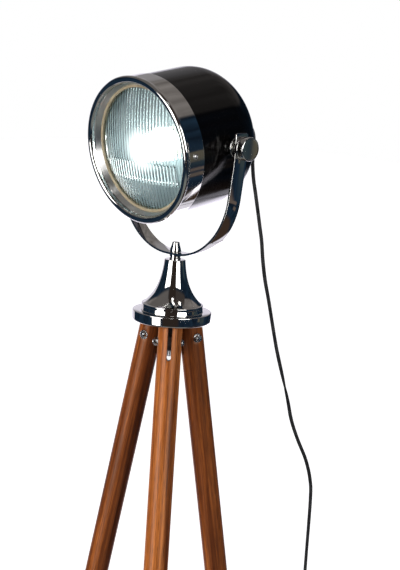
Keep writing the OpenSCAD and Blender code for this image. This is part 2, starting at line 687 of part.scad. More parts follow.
// ---------- foot switch ----------
button_r = 10.5;
switch_h = 19;
travel = 3;
module on_switch_axes() {
    translate([switch_pos[0], switch_pos[1], 0]) rotate([0, 0, switch_turn]) children();
}
module switch_plan(off = 0) {
    r = switch_w / 2 - off;
    for (side = [-1, 1]) translate([side * (switch_l - switch_w) / 2, 0]) circle(r = r);
    square([switch_l - switch_w, 2 * r], center = true);
}
module switch_base() {
    color("#18181a") on_switch_axes() difference() {
        union() {
            linear_extrude(entry_z) switch_plan();
            for (side = [-1, 1]) translate([side * (switch_l / 2 - 3), 0, entry_z]) rotate([0, side * 90, 0])
                cylinder(h = 11 - seat_gap, r1 = 6, r2 = 4.4);
        }
        translate([0, 0, 2]) linear_extrude(entry_z) switch_plan(2);
        translate([0, 0, entry_z]) rotate([0, 90, 0])
            cylinder(h = 2 * switch_l, r = cord_r + seat_gap, center = true);
        translate([0, 0, entry_z + 50]) cube([switch_l - 5, 40, 100], center = true);
    }
}
module switch_cover() {
    color("#18181a") on_switch_axes() difference() {
        union() {
            translate([0, 0, entry_z + seat_gap]) linear_extrude(switch_h - entry_z - 2) switch_plan();
            translate([0, 0, switch_h - 2]) linear_extrude(1) switch_plan(0.8);
            translate([0, 0, switch_h - 1]) linear_extrude(1) switch_plan(2);
        }
        translate([0, 0, entry_z - 1]) linear_extrude(switch_h - entry_z - 1) switch_plan(2);
        translate([0, 0, entry_z]) cylinder(h = switch_h, r = button_r + 0.3);
        translate([0, 0, entry_z]) rotate([0, 90, 0]) cylinder(h = 2 * switch_l, r = 6.3, center = true);
    }
}
module switch_button() {
    color("#242426") on_switch_axes() translate([0, 0, entry_z]) rotate_extrude() union() {
        translate([0, 4]) square([button_r, switch_h - entry_z - 1]);
        translate([0, switch_h - entry_z + 2.9]) square([button_r - 1, 1.1]);
        translate([button_r - 1, switch_h - entry_z + 3]) circle(r = 1);
        translate([0, 4]) square([button_r + 1.6, 1.8]);
    }
}

// ---------- plug ----------
module on_plug() {
    translate(plug_at) rotate([0, 0, exit_turn]) children();
}
module plug_plan() {
    polygon([[13, -9], [17, -13], [33, -17.5], [33, 17.5], [17, 13], [13, 9]]);
}
module plug_body() {
    color("#18181a") on_plug() difference() {
        union() {
            translate([0, 0, -6.8]) linear_extrude(13.6) plug_plan();
            translate([0.05, 0, 0]) rotate([0, 90, 0]) cylinder(h = 14, r1 = 4.2, r2 = 6.6);
        }
        translate([-1, 0, 0]) rotate([0, 90, 0]) cylinder(h = 1.05, r = 8);
    }
}
module plug_pins() {
    color("gainsboro") on_plug() for (y = [-9.5, 9.5]) translate([33.1, y, 0]) rotate([0, 90, 0]) union() {
        cylinder(h = 17.5, r = 2);
        translate([0, 0, 17.5]) cylinder(h = 1.5, r1 = 2, r2 = 1);
    }
}

base_disc();
bell();
neck_washer();
hinge_bracket();
centre_rod();
rod_washer();
rod_nut();
hinge_bolts();
hinge_washers();
hinge_nuts();
finial_nut();
yoke_strap();
head_shell();
bezel_ring();
bezel_screws();
lens_gasket();
lens();
reflector();
retaining_ring();
lamp_holder();
bulb_cap();
bulb_globe();
inner_lead();
cord_gland();
gland_nut();
pivot_studs();
stud_nuts();
pivot_spacers();
knob_right();
knob_left();
leg(0);  // leg_rear
leg(1);  // leg_left
leg(2);  // leg_front
foot_pad(0);  // foot_pad_rear
foot_pad(1);  // foot_pad_left
foot_pad(2);  // foot_pad_front
cord_lead();
cord_drop();
switch_base();
switch_cover();
switch_button();
cord_tail();
cord_coil();
coil_tie();
plug_body();
plug_pins();
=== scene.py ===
import json
import math
import bpy
from mathutils import Matrix, Vector

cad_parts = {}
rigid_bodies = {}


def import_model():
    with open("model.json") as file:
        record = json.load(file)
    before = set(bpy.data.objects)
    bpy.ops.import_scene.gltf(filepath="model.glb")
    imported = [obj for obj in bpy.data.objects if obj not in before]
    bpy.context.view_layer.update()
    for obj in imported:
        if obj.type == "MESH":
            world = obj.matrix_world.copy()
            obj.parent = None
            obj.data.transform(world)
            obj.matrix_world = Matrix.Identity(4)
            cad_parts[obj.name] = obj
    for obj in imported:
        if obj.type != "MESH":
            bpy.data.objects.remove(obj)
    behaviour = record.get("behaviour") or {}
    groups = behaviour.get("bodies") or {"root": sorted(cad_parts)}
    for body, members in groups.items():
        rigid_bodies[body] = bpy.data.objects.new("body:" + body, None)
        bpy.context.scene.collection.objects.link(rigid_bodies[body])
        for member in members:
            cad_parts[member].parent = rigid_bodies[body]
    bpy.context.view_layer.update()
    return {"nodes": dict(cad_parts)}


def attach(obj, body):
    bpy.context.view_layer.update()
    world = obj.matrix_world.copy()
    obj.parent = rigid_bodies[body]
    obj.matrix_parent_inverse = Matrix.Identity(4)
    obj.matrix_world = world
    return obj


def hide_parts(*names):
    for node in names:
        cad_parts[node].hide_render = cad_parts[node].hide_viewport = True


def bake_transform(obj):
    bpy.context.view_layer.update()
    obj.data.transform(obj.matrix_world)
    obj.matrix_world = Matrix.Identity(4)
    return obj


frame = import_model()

nodes = frame["nodes"]

# ---- camera
# Half front-right of the lamp, a little above the head, rolled slightly.
picture_tall, focal_length = 570, 1345.04


def turned(degrees, axis):
    """A turn about one axis."""
    return Matrix.Rotation(math.radians(degrees), 4, axis)


turn = turned(45.41, "Z") @ turned(79.15, "X") @ turned(3.63, "Z")
bpy.ops.object.camera_add(location=(1.3146, -1.2449, 1.4937), rotation=turn.to_euler())
camera = bpy.context.object
camera.data.sensor_width = 36
camera.data.lens = focal_length / picture_tall * camera.data.sensor_width
bpy.context.scene.camera = camera

# ---- hanging cord
# Flat twin mains cord in black PVC, 5.6 x 3.4 mm. It leaves the gland at the back of the dome,
# hangs to the floor behind the legs and runs into the foot switch.
cord_w, cord_t = 0.0056, 0.0034
pivot = Vector((0, 0, 1.3441))
head_tilt, gland_reach = 9.8, 0.1115
lean = math.radians(head_tilt)
back = Vector((0, math.cos(lean), math.sin(lean)))
gland_tip = pivot + gland_reach * back
lead_points = [gland_tip, gland_tip + 0.006 * back] + [Vector(p) / 1000 for p in ((0, 122.9, 1363.9),
    (0, 130, 1360.6), (0, 135.3, 1354.9), (0, 138.6, 1347.4), (0, 139.9, 1338.5), (0, 140.1, 1328),
    (0, 140.1, 1317), (0, 140.6, 1306), (1, 143.6, 1285), (2, 148.6, 1265), (3, 154.8, 1240))]
switch_turn = 205
switch_dir = Vector((math.cos(math.radians(switch_turn)), math.sin(math.radians(switch_turn)), 0))
switch_mid = Vector((-0.050, 0.272, 0.009))
nozzle = 0.041
drop_points = [Vector(p) / 1000 for p in ((3, 154.8, 1239.9), (4, 160.8, 1215), (5, 165.4, 1195),
    (5, 170.7, 1167), (6, 177.5, 1137), (8, 186, 1107), (10, 196, 1070), (12, 205, 1037), (14, 211.5, 1015),
    (17, 222, 982), (20, 232, 950), (22, 241.5, 918), (26.5, 254, 887), (34, 268, 854), (36.5, 279, 821),
    (35.5, 285, 788), (32, 290, 695), (29, 294, 595), (27, 297, 495), (25, 300, 395), (23, 302, 295),
    (22, 304, 195), (21, 305, 105), (21, 305, 62), (21, 305, 46), (20, 304.5, 34), (16, 302.6, 22.5),
    (8, 299, 13.7), (-1, 294.8, 9.8))]
drop_points += [switch_mid - (nozzle + cord_w) * switch_dir, switch_mid - nozzle * switch_dir]


def through(points, step):
    """Points on a smooth curve through the chosen ones."""
    found = []
    for i in range(len(points) - 1):
        b, c = points[i], points[i + 1]
        a = points[i - 1] if i else 2 * b - c
        d = points[i + 2] if i + 2 < len(points) else 2 * c - b
        count = max(1, round((c - b).length / step))
        for k in range(count):
            t = k / count
            found.append(0.5 * (2 * b + (c - a) * t + (2 * a - 5 * b + 4 * c - d) * t * t +
                (3 * b - a - 3 * c + d) * t ** 3))
    return found + [points[-1]]


def take(piece):
    """Leaves edit mode and selects one piece alone."""
    if bpy.context.object and bpy.context.object.mode != "OBJECT":
        bpy.ops.object.mode_set(mode="OBJECT")
    bpy.ops.object.select_all(action="DESELECT")
    piece.select_set(True)
    bpy.context.view_layer.objects.active = piece


def edit_all():
    """Enters edit mode with the whole piece selected."""
    bpy.ops.object.mode_set(mode="EDIT")
    bpy.ops.mesh.select_mode(type="VERT")
    bpy.ops.mesh.select_all(action="SELECT")


def leave_edit():
    bpy.ops.object.mode_set(mode="OBJECT")


def shaded(angle):
    """Shades the piece smooth, except at edges sharper than an angle in degrees."""
    bpy.ops.object.shade_smooth_by_angle(angle=math.radians(angle))


def flat_cord(name, path, tilts):
    """Sweeps the twin section along a path, turned by the tilt at each point, into a mesh."""
    lobe = cord_t / 2
    reach = cord_w / 2 - lobe
    section = bpy.data.curves.new(name + "_section", "CURVE")
    outline = section.splines.new("POLY")
    corners = []
    for side in (0, math.pi):
        for k in range(9):
            a = side + math.radians(-128 + 256 * k / 8)
            corners.append((reach * math.cos(side) + lobe * math.cos(a), lobe * math.sin(a)))
    outline.points.add(len(corners) - 1)
    for point, (x, y) in zip(outline.points, corners):
        point.co = (x, y, 0, 1)
    outline.use_cyclic_u = True
    section_object = bpy.data.objects.new(name + "_section", section)
    bpy.context.scene.collection.objects.link(section_object)
    curve = bpy.data.curves.new(name, "CURVE")
    curve.dimensions = "3D"
    curve.twist_mode = "MINIMUM"
    run = curve.splines.new("POLY")
    run.points.add(len(path) - 1)
    for point, place, tilt in zip(run.points, path, tilts):
        point.co = (*place, 1)
        point.tilt = tilt
    curve.bevel_mode = "OBJECT"
    curve.bevel_object = section_object
    curve.use_fill_caps = True
    piece = bpy.data.objects.new(name, curve)
    bpy.context.scene.collection.objects.link(piece)
    take(piece)
    bpy.ops.object.convert(target="MESH")
    bpy.data.objects.remove(section_object)
    edit_all()
    bpy.ops.mesh.remove_doubles(threshold=0.00001)
    bpy.ops.mesh.normals_make_consistent()
    leave_edit()
    shaded(50)
    return bpy.context.object


def pick(piece, kind, test):
    """Selects the vertices, edges or polygons of a piece that pass a test, and stays in edit mode."""
    take(piece)
    bpy.ops.object.mode_set(mode="EDIT")
    bpy.ops.mesh.select_mode(type={"vertices": "VERT", "edges": "EDGE", "polygons": "FACE"}[kind])
    bpy.ops.mesh.select_all(action="DESELECT")
    leave_edit()
    for item in getattr(piece.data, kind):
        item.select = test(item)
    bpy.ops.object.mode_set(mode="EDIT")


def feed(node, inputs):
    """Sets a node's inputs to values, or joins them to outputs; a node given stands for its first one."""
    for key, value in inputs.items():
        if isinstance(value, bpy.types.Node):
            value = value.outputs[0]
        if isinstance(value, bpy.types.NodeSocket):
            node.id_data.links.new(value, node.inputs[key])
        else:
            node.inputs[key].default_value = value


def wire(tree, kind, inputs=None, **settings):
    """Adds a shader node and feeds its inputs."""
    node = tree.nodes.new("ShaderNode" + kind)
    for key, value in settings.items():
        setattr(node, key, value)
    feed(node, inputs or {})
    return node


def noise(tree, place, scale, detail, **more):
    return wire(tree, "TexNoise", {"Vector": place, "Scale": scale, "Detail": detail, **more})


def ranged(tree, value, low, high, to_low=0, to_high=1, **settings):
    """Stretches a value from one range to another."""
    return wire(tree, "MapRange", {"Value": value, "From Min": low, "From Max": high, "To Min": to_low,
        "To Max": to_high}, **settings)


def mixed(tree, share, first, second):
    return wire(tree, "MixRGB", {"Fac": share, "Color1": first, "Color2": second})


def effect(name, inputs, outputs):
    """Starts a node group with named number, vector or colour inputs and outputs."""
    group = bpy.data.node_groups.new(name, "ShaderNodeTree")
    for socket, kind in inputs.items():
        group.interface.new_socket(name=socket, in_out="INPUT", socket_type="NodeSocket" + kind)
    for socket, kind in outputs.items():
        group.interface.new_socket(name=socket, in_out="OUTPUT", socket_type="NodeSocket" + kind)
    return group, group.nodes.new("NodeGroupInput"), group.nodes.new("NodeGroupOutput")


def finish(name, **values):
    """Starts a material: its node tree, its Principled shader and its Object coordinates."""
    material = bpy.data.materials.new(name)
    material.use_nodes = True
    shader = material.node_tree.nodes["Principled BSDF"]
    for key, value in values.items():
        shader.inputs[key.replace("_", " ")].default_value = value
    place = wire(material.node_tree, "TexCoord").outputs["Object"]
    return material, material.node_tree, shader, place


# Handling marks: broad soft patches with finer mottling, from Low to High
marks, marks_in, marks_out = effect("handling_marks", {"Place": "Vector", "Scale": "Float", "Low": "Float",
    "High": "Float"}, {"Value": "Float", "Mask": "Float"})
broad = noise(marks, marks_in.outputs["Place"], marks_in.outputs["Scale"], 5, Roughness=0.62, Distortion=0.4)
soft_mask = ranged(marks, broad, 0.36, 0.66, interpolation_type="SMOOTHSTEP")
spread = ranged(marks, soft_mask, 0, 1, marks_in.outputs["Low"], marks_in.outputs["High"])
feed(marks_out, {"Value": spread, "Mask": soft_mask})


def handled(name, scale, low, high, clean, worn, **values):
    """Starts a material whose roughness and colour follow the handling marks."""
    material, tree, shader, place = finish(name, **values)
    patches = wire(tree, "Group", {"Place": place, "Scale": scale, "Low": low, "High": high}, node_tree=marks)
    feed(shader, {"Roughness": patches, "Base Color": mixed(tree, patches.outputs["Mask"], clean, worn)})
    return material, tree, shader, place


def roughened(tree, shader, place, scale, detail, strength, distance):
    """Makes a material's surface finely uneven."""
    relief = noise(tree, place, scale, detail)
    feed(shader,
        {"Normal": wire(tree, "Bump", {"Height": relief, "Strength": strength, "Distance": distance})})


# Black PVC of the cord: satin, faintly uneven from the extruder, a little dusty
cord_black, tree, shader, place = handled("cord_black", 60, 0.32, 0.52, (0.013, 0.013, 0.015, 1),
    (0.024, 0.024, 0.026, 1), Base_Color=(0.018, 0.018, 0.02, 1), Roughness=0.4)
roughened(tree, shader, place, 420, 2, 0.12, 0.0004)

lead_path = through(lead_points, 0.004)
drop_path = through(drop_points, 0.008)
hanging_path = lead_path + drop_path[1:]
twists = [2.5 + 0.45 * math.sin(i / 13) + 0.25 * math.sin(i / 5.3) +
    math.pi / (1 + math.exp((p.z - 0.97) / 0.018)) for i, p in enumerate(hanging_path)]
drop = flat_cord("drop_cord", hanging_path, twists)
seam = lead_path[-1].z
pick(drop, "polygons", lambda face: face.center.z > seam)
bpy.ops.mesh.separate(type="SELECTED")
take(drop)
lead = next(o for o in bpy.data.objects if o.name.startswith("drop_cord.") and o.type == "MESH")
lead.name = "lead_cord"
for piece in (lead, drop):
    take(piece)
    edit_all()
    bpy.ops.mesh.fill_holes(sides=0)
    leave_edit()
    piece.data.materials.clear()
    piece.data.materials.append(cord_black)
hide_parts("cord_lead")
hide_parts("cord_drop")
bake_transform(lead)
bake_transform(drop)

# ---- foot switch
# Two-part moulded housing in satin black plastic with a ribbed nozzle at each end for the cord,
# and a separate round push button that rides on its own body.
switch_place = Matrix.Translation((switch_mid.x, switch_mid.y, 0)) @ turned(switch_turn, "Z")


def settle(piece, place):
    """Applies a place to a piece's mesh, so that its object stays at the origin."""
    take(piece)
    piece.matrix_world = place @ piece.matrix_world
    bpy.ops.object.transform_apply()


def arc(r, z, radius, start, end, count=6):
    """Points in millimetres on an arc, from one angle in degrees to another."""
    turns = [math.radians(start + (end - start) * k / count) for k in range(count + 1)]
    return [(r + radius * math.cos(t), z + radius * math.sin(t)) for t in turns]


def spun(name, profile, steps=96):
    """Turns a line of (radius, height) points in millimetres round the Z axis, as on a lathe."""
    bpy.ops.mesh.primitive_plane_add(size=0.001)
    piece = bpy.context.object
    piece.name = name
    edit_all()
    bpy.ops.mesh.merge(type="CENTER")
    bpy.ops.transform.translate(value=(profile[0][0] / 1000, 0, profile[0][1] / 1000))
    for (a, b), (c, d) in zip(profile, profile[1:]):
        bpy.ops.mesh.extrude_vertices_move(TRANSFORM_OT_translate={"value": ((c - a) / 1000, 0,
            (d - b) / 1000)})
    bpy.ops.mesh.select_all(action="SELECT")
    bpy.ops.mesh.spin(steps=steps, angle=2 * math.pi, center=(0, 0, 0), axis=(0, 0, 1))
    bpy.ops.mesh.select_all(action="SELECT")
    bpy.ops.mesh.remove_doubles(threshold=0.000004)
    bpy.ops.mesh.normals_make_consistent()
    leave_edit()
    shaded(38)
    return piece


def shaped(piece, kind, **settings):
    """Adds a modifier to a piece and applies it."""
    take(piece)
    change = piece.modifiers.new("change", kind)
    for key, value in settings.items():
        setattr(change, key, value)
    bpy.ops.object.modifier_apply(modifier="change")


def cut(piece, cutter, operation="DIFFERENCE"):
    """Cuts a piece with another, which is then thrown away."""
    shaped(piece, "BOOLEAN", operation=operation, solver="EXACT", object=cutter)
    bpy.data.objects.remove(cutter)


def eased(piece, width, segments=2, angle=35):
    """Rounds a piece's sharp edges by a width in millimetres and shades it smooth."""
    shaped(piece, "BEVEL", width=width / 1000, segments=segments, limit_method="ANGLE",
        angle_limit=math.radians(angle))
    shaded(angle)


def rod(radius, low, high, sides=48):
    """A plain round bar along Z, in millimetres, to cut or to shape further."""
    bpy.ops.mesh.primitive_cylinder_add(vertices=sides, radius=radius / 1000, depth=(high - low) / 1000,
        location=(0, 0, (low + high) / 2000))
    bpy.ops.object.transform_apply()
    return bpy.context.object


def block(size, middle):
    """A plain block in millimetres, to cut with."""
    bpy.ops.mesh.primitive_cube_add(size=0.001, location=[m / 1000 for m in middle], scale=size)
    bpy.ops.object.transform_apply()
    return bpy.context.object


def bored(piece, place, *bar):
    """Cuts a round bar, once it is in place, out of a piece."""
    drill = rod(*bar)
    settle(drill, place)
    cut(piece, drill)


def long_case(name, radius, reach, low, high):
    """A round bar pulled out into an oval case."""
    case = rod(radius, low, high, 64)
    case.name = name
    for side in (-1, 1):
        pick(case, "vertices", lambda v: side * v.co.x > 0.0001)
        bpy.ops.transform.translate(value=(side * reach / 1000, 0, 0))
    leave_edit()
    return case


def joined(piece, *others):
    """Joins other pieces to the first one."""
    take(piece)
    for other in others:
        other.select_set(True)
    bpy.ops.object.join()
    return bpy.context.object


switch_black, tree, shader, place = handled("moulded_black", 45, 0.34, 0.5, (0.016, 0.016, 0.018, 1),
    (0.026, 0.026, 0.028, 1), Base_Color=(0.02, 0.02, 0.022, 1), Roughness=0.42)
roughened(tree, shader, place, 1500, 1, 0.25, 0.0002)

case_r, hollow_r, case_reach = 15, 13, 18
base = long_case("switch_housing_base", case_r, case_reach, 0, 9)
eased(base, 0.7, 2)
cut(base, long_case("hollow", hollow_r, case_reach, 2, 12))
sleeves = []
for side in (-1, 1):
    sleeve = spun("sleeve", [(6, 0), (6, 0.6), (5.5, 1.2), (5.5, 2), (5.8, 2.6), (5.6, 3.4), (5.1, 4),
        (5.1, 4.8), (5.4, 5.4), (5.2, 6.2), (4.7, 6.8), (4.7, 7.6), (5, 8.2), (4.7, 9.6), (4.2, 10.9),
        (2.9, 10.9), (2.9, 0), (6, 0)], 40)
    settle(sleeve, Matrix.Translation((side * 0.030, 0, 0.009)) @ turned(90 * side, "Y"))
    sleeves.append(sleeve)
base = joined(base, *sleeves)
settle(base, switch_place)
cover = long_case("switch_housing_cover", case_r, case_reach, 9.1, 19)
pick(cover, "edges", lambda e: all(cover.data.vertices[i].co.z > 0.0189 for i in e.vertices))
bpy.ops.mesh.bevel(offset=0.003, segments=5)
leave_edit()
cut(cover, rod(10.8, 8, 25, 64))
cut(cover, long_case("hollow", hollow_r, case_reach, 8, 16.8))
for side in (-1, 1):
    bored(cover, Matrix.Translation((side * 0.040, 0, 0.009)) @ turned(90, "Y"), 6.25, -20, 20, 40)
shaded(35)
settle(cover, switch_place)
button = spun("foot_button", [(0, 13), (12.1, 13), (12.1, 14.8), (10.5, 14.8), (10.5, 21.6)] +
    arc(9.3, 21.8, 1.2, 0, 80) + [(8.4, 22.9), (6.5, 22.5), (3, 22.2), (0, 22.1)], 64)
settle(button, switch_place)
for piece, node in ((base, "switch_base"), (cover, "switch_cover"), (button, "switch_button")):
    piece.data.materials.append(switch_black)
    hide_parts(node)
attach(base, "stand")
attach(cover, "stand")
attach(button, "button")

# ---- coil, tie and plug
# The rest of the lead leaves the switch, lies wound in two layers of three turns held by a plastic
# tie, and ends in a moulded two-pin plug.
coil_pitch, coil_turns, coil_low = 0.0061, 3, 0.0040
coil_middle_r, coil_gap = 0.032, 0.042
coil_out = coil_middle_r + coil_pitch * coil_turns / 2
entry = switch_mid + (nozzle + coil_gap) * switch_dir
entry.z = coil_low
start_angle = math.radians(switch_turn - 90)
coil_mid = entry - coil_out * Vector((math.cos(start_angle), math.sin(start_angle), 0))
tail_points = [switch_mid + nozzle * switch_dir, switch_mid + (nozzle + cord_w) * switch_dir, switch_mid +
    (nozzle + 0.020) * switch_dir - Vector((0, 0, 0.0024)), entry - (0.010 + cord_w) * switch_dir,
    entry - cord_w * switch_dir]
coil_points = []
for i in range(48 * coil_turns + 1):
    t = i / 24
    climb = min(1, max(0, (t - coil_turns + 0.25) * 2))
    r = coil_out - coil_pitch * (coil_turns - abs(t - coil_turns))
    angle = start_angle + 2 * math.pi * t
    coil_points.append(Vector((coil_mid.x + r * math.cos(angle), coil_mid.y + r * math.sin(angle), coil_low +
        coil_pitch * climb * climb * (3 - 2 * climb))))
leave = coil_points[-1]
plug_z = 0.007
for along, fall in ((6, 0), (13, 0.05), (20, 0.2), (27, 0.5), (34, 0.8), (41, 0.97), (48, 1)):
    coil_points.append(leave + along / 1000 * switch_dir + Vector((0, 0, fall * (plug_z - leave.z))))
tail_path = through(tail_points, 0.005) + coil_points
tail = flat_cord("tail_cord", tail_path, [math.pi / 2] * len(tail_path))
tail.data.materials.clear()
tail.data.materials.append(cord_black)
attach(tail, "stand")
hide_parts("cord_tail", "cord_coil")


def pull_out(way):
    """Draws what is selected out of a piece, with walls behind it."""
    bpy.ops.mesh.extrude_region_move(TRANSFORM_OT_translate={"value": way})


plug_place = Matrix.Translation(tail_path[-1]) @ turned(switch_turn, "Z")
bpy.ops.mesh.primitive_cube_add(size=0.001, location=(0.015, 0, 0), scale=(4, 18, 13.6))
plug = bpy.context.object
plug.name = "plug_moulding"
bpy.ops.object.transform_apply()
for step, wide in ((4, 26), (12, 35), (4, 35)):
    pick(plug, "polygons", lambda face: face.normal.x > 0.99)
    pull_out((step / 1000, 0, 0))
    leave_edit()
    ends = [v for v in plug.data.vertices if v.select]
    wide_now = 2000 * max(abs(v.co.y) for v in ends)
    bpy.ops.object.mode_set(mode="EDIT")
    bpy.ops.transform.resize(value=(1, wide / wide_now, 1))
leave_edit()
eased(plug, 1.6, 3)
collar = spun("collar", [(3.2, 1.05), (4.3, 1.05), (4.5, 1.6), (4.1, 2.2), (4.1, 3.2), (4.8, 3.8), (4.9, 4.4),
    (4.5, 5), (4.5, 6), (5.3, 6.6), (5.4, 7.2), (5, 7.8), (5, 8.8), (5.9, 9.4), (6, 10), (5.8, 11), (6.4, 14),
    (3.2, 14), (3.2, 1.05)], 40)
settle(collar, turned(90, "Y"))
plug = joined(plug, collar)
settle(plug, plug_place)
plug.data.materials.append(switch_black)
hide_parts("plug_body")
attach(plug, "stand")


def copy_of(piece):
    """A second one of a piece."""
    take(piece)
    bpy.ops.object.duplicate()
    return bpy.context.object


def smoothed(node, bevel=0, angle=35):
    """A copy of a CAD node with its triangles merged, its edges eased and its curves shaded smooth."""
    piece = copy_of(nodes[node])
    piece.parent = None
    piece.name = node + "_piece"
    for key in list(piece.keys()):
        del piece[key]
    piece.data.materials.clear()
    edit_all()
    bpy.ops.mesh.remove_doubles(threshold=0.000002)
    bpy.ops.mesh.dissolve_limited(angle_limit=math.radians(0.6))
    leave_edit()
    if bevel:
        eased(piece, bevel, 2, angle)
    shaded(angle)
    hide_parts(node)
    return piece


# Bright steel of the pins, bolts and screws: nickel plate with fine turning lines
bright_steel, tree, shader, place = handled("bright_steel", 240, 0.12, 0.3, (0.72, 0.71, 0.7, 1),
    (0.56, 0.55, 0.54, 1), Base_Color=(0.66, 0.66, 0.67, 1), Metallic=1, Roughness=0.2)
pins = smoothed("plug_pins", 0.2)
pins.data.materials.append(bright_steel)
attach(pins, "stand")
tie = smoothed("coil_tie", 0.3)
tie.data.materials.append(switch_black)
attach(tie, "stand")

# ---- base disc
# Chromed steel disc with a rounded lower edge and a low step on top, turned in one piece.
disc_z, rod_bore = 1.0952, 4.06


def maths(tree, operation, *values):
    return wire(tree, "Math", dict(enumerate(values)), operation=operation)


# Chrome plate: mirror bright, with wiped-on marks, hairlines and a slightly uneven ground
chrome, tree, shader, place = finish("chrome_plate", Base_Color=(0.74, 0.73, 0.71, 1), Metallic=1,
    Roughness=0.05)
wiped = wire(tree, "Group", {"Place": place, "Scale": 16, "Low": 0.025, "High": 0.09}, node_tree=marks)
hair_map = wire(tree, "Mapping", {"Vector": place, "Rotation": (0.4, 0.9, 0.2), "Scale": (900, 40, 900)})
hair = noise(tree, hair_map, 1, 2)
hairline = ranged(tree, hair, 0.66, 0.8, 0, 0.14)
shade = mixed(tree, wiped.outputs["Mask"], (0.78, 0.77, 0.75, 1), (0.70, 0.69, 0.67, 1))
feed(shader, {"Roughness": maths(tree, "ADD", wiped, hairline), "Base Color": shade})
roughened(tree, shader, place, 26, 1, 0.05, 0.004)

disc = spun("base_disc_piece", [(rod_bore, 0), (30, 0), (51.5, 0)] + arc(51.5, 3, 3, -90, 0, 8) +
    arc(53.3, 13, 1.2, 0, 90, 5) + [(44, 14.2), (42.9, 14.2), (42.35, 14.5), (42.2, 15)] + arc(41.6, 19.3,
    0.5, 0, 90, 4) + [(20, 19.8), (rod_bore, 19.8), (rod_bore, 0)], 160)
settle(disc, Matrix.Translation((0, 0, disc_z)))

# ---- bell
# Trumpet-shaped hub cover spun from sheet steel and chromed, with a rounded rim, over the centre rod.
bell_z = 1.1150
core, spread_r, fall = 12.136, 28.064, 24.5
heights = [60.4 * (i / 40) ** 1.25 for i in range(41)]
flare = [(core + spread_r * math.exp(-z / fall), 4.2 + z) for z in heights]
throat = [(r - 1.5, min(z, 64.2)) for r, z in flare]
bell = spun("bell_piece", [(38.7, 0.4), (41.9, 0)] + arc(41.8, 0.8, 0.8, -80, 0, 4) + [(42.55, 3.3)] +
    arc(41.75, 3.4, 0.8, 0, 90, 4) + [(40.75, 4.2), (40.35, 4.27)] + flare[1:] + arc(flare[-1][0] - 0.8, 64.9,
    0.8, 0, 90, 4) + [(9, 65.7), (rod_bore, 65.7), (rod_bore, 64.2)] + throat[::-1] + [(38.7, 0.4)], 160)
settle(bell, Matrix.Translation((0, 0, bell_z)))

# ---- neck washer and finial nut
# Turned chrome spacer under the strap, and the tapered nut that clamps the strap from above.
neck_z, finial_z = 1.1807, 1.1910
neck = spun("neck_washer_piece", [(rod_bore, 0), (7.4, 0), (7.8, 0.4)] + arc(8.7, 3.02, 1.6, 235, 125, 8) +
    [(7.8, 6.4)] + arc(7, 6.4, 0.8, 0, 90, 5) + [(rod_bore, 7.2), (rod_bore, 0)], 64)
settle(neck, Matrix.Translation((0, 0, neck_z)))


def blind_bore(piece, low, deep, tip):
    """Draws the bore at a piece's lower end up to a closed end, in metres."""
    pick(piece, "vertices", lambda v: v.co.z < low + 0.00001 and v.co.xy.length < 0.0042)
    pull_out((0, 0, deep))
    pull_out((0, 0, tip))
    bpy.ops.mesh.merge(type="CENTER")
    leave_edit()


finial = spun("finial_piece", [(rod_bore, 0), (7.2, 0)] + arc(7.2, 0.6, 0.6, -90, 0, 3) +
    [(7.8, 2.2), (7.66, 2.7), (6.95, 5), (6.1, 7.8), (5.2, 10.8)] + arc(3.9, 12.6, 1, 15, 85, 5) +
    [(3, 13.75), (1.4, 13.9), (0, 13.95)], 64)
blind_bore(finial, 0, 0.0094, 0.0008)
settle(finial, Matrix.Translation((0, 0, finial_z)))
for piece, node, body in ((disc, "base_disc", "stand"), (bell, "bell", "stand"),
        (neck, "neck_washer", "stand"), (finial, "finial_nut", "finial")):
    piece.data.materials.append(chrome)
    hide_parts(node)
    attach(piece, body)

# ---- hinge bracket and centre rod
# Welded steel hub with three tongues for the legs, enamelled black, pulled up to the disc by a
# threaded rod with a washer and nut below.
black_steel, tree, shader, place = handled("black_steel", 70, 0.28, 0.5, (0.035, 0.035, 0.038, 1),
    (0.062, 0.06, 0.06, 1), Base_Color=(0.05, 0.05, 0.055, 1), Roughness=0.4)
roughened(tree, shader, place, 500, 2, 0.2, 0.0004)

zinc, tree, shader, place = handled("zinc_plate", 130, 0.24, 0.46, (0.6, 0.61, 0.64, 1),
    (0.46, 0.46, 0.46, 1), Base_Color=(0.55, 0.56, 0.58, 1), Metallic=1, Roughness=0.35)


def threaded(radius, low, high, pitch=1, depth=0.45):
    """Profile of a stretch of screw thread, in millimetres."""
    count = int((high - low) / pitch)
    return [point for k in range(count) for point in ((radius - depth, low + k * pitch),
        (radius, low + (k + 0.5) * pitch))]


bracket = smoothed("hinge_bracket", 0.7)
centre = spun("centre_rod_piece", [(0, 1044.4), (3.2, 1044.4)] + threaded(4, 1044.6, 1061.6, 1.25, 0.6) +
    [(3.5, 1061.9), (4, 1062.4), (4, 1198.9), (3, 1199.9), (0, 1199.9)], 40)
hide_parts("centre_rod")
lower_nut, lower_washer = smoothed("rod_nut", 0.5), smoothed("rod_washer", 0.3)
for piece, coat, name in ((bracket, black_steel, "black_steel"), (centre, zinc, "zinc_steel"),
        (lower_nut, zinc, "zinc_steel"), (lower_washer, zinc, "zinc_steel")):
    piece.data.materials.append(coat)
    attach(piece, "stand")

# ---- legs
# Round hardwood legs, 33 mm, stained reddish brown and satin lacquered. Each is slotted at the top
# over a bracket tongue, bored for its hinge bolt, and cut back flat round the bolt's head and nut.
hinge_r, pin_z, splay = 0.03343, 1.0717, 10.5
leg_turns = {"rear": 75.8, "left": 195.8, "front": 315.8}
# Painted light and shade: the front leg's stain is shifted lighter, the left leg's a little darker and the
# rear leg's darker
leg_painted_light = {"rear": -0.05, "left": -0.025, "front": 0.05}
next_plank = Vector((0.31, 0.17, 0.43))


def leg_place(name):
    return turned(leg_turns[name], "Z") @ Matrix.Translation((hinge_r, 0, pin_z)) @ turned(-splay, "Y")


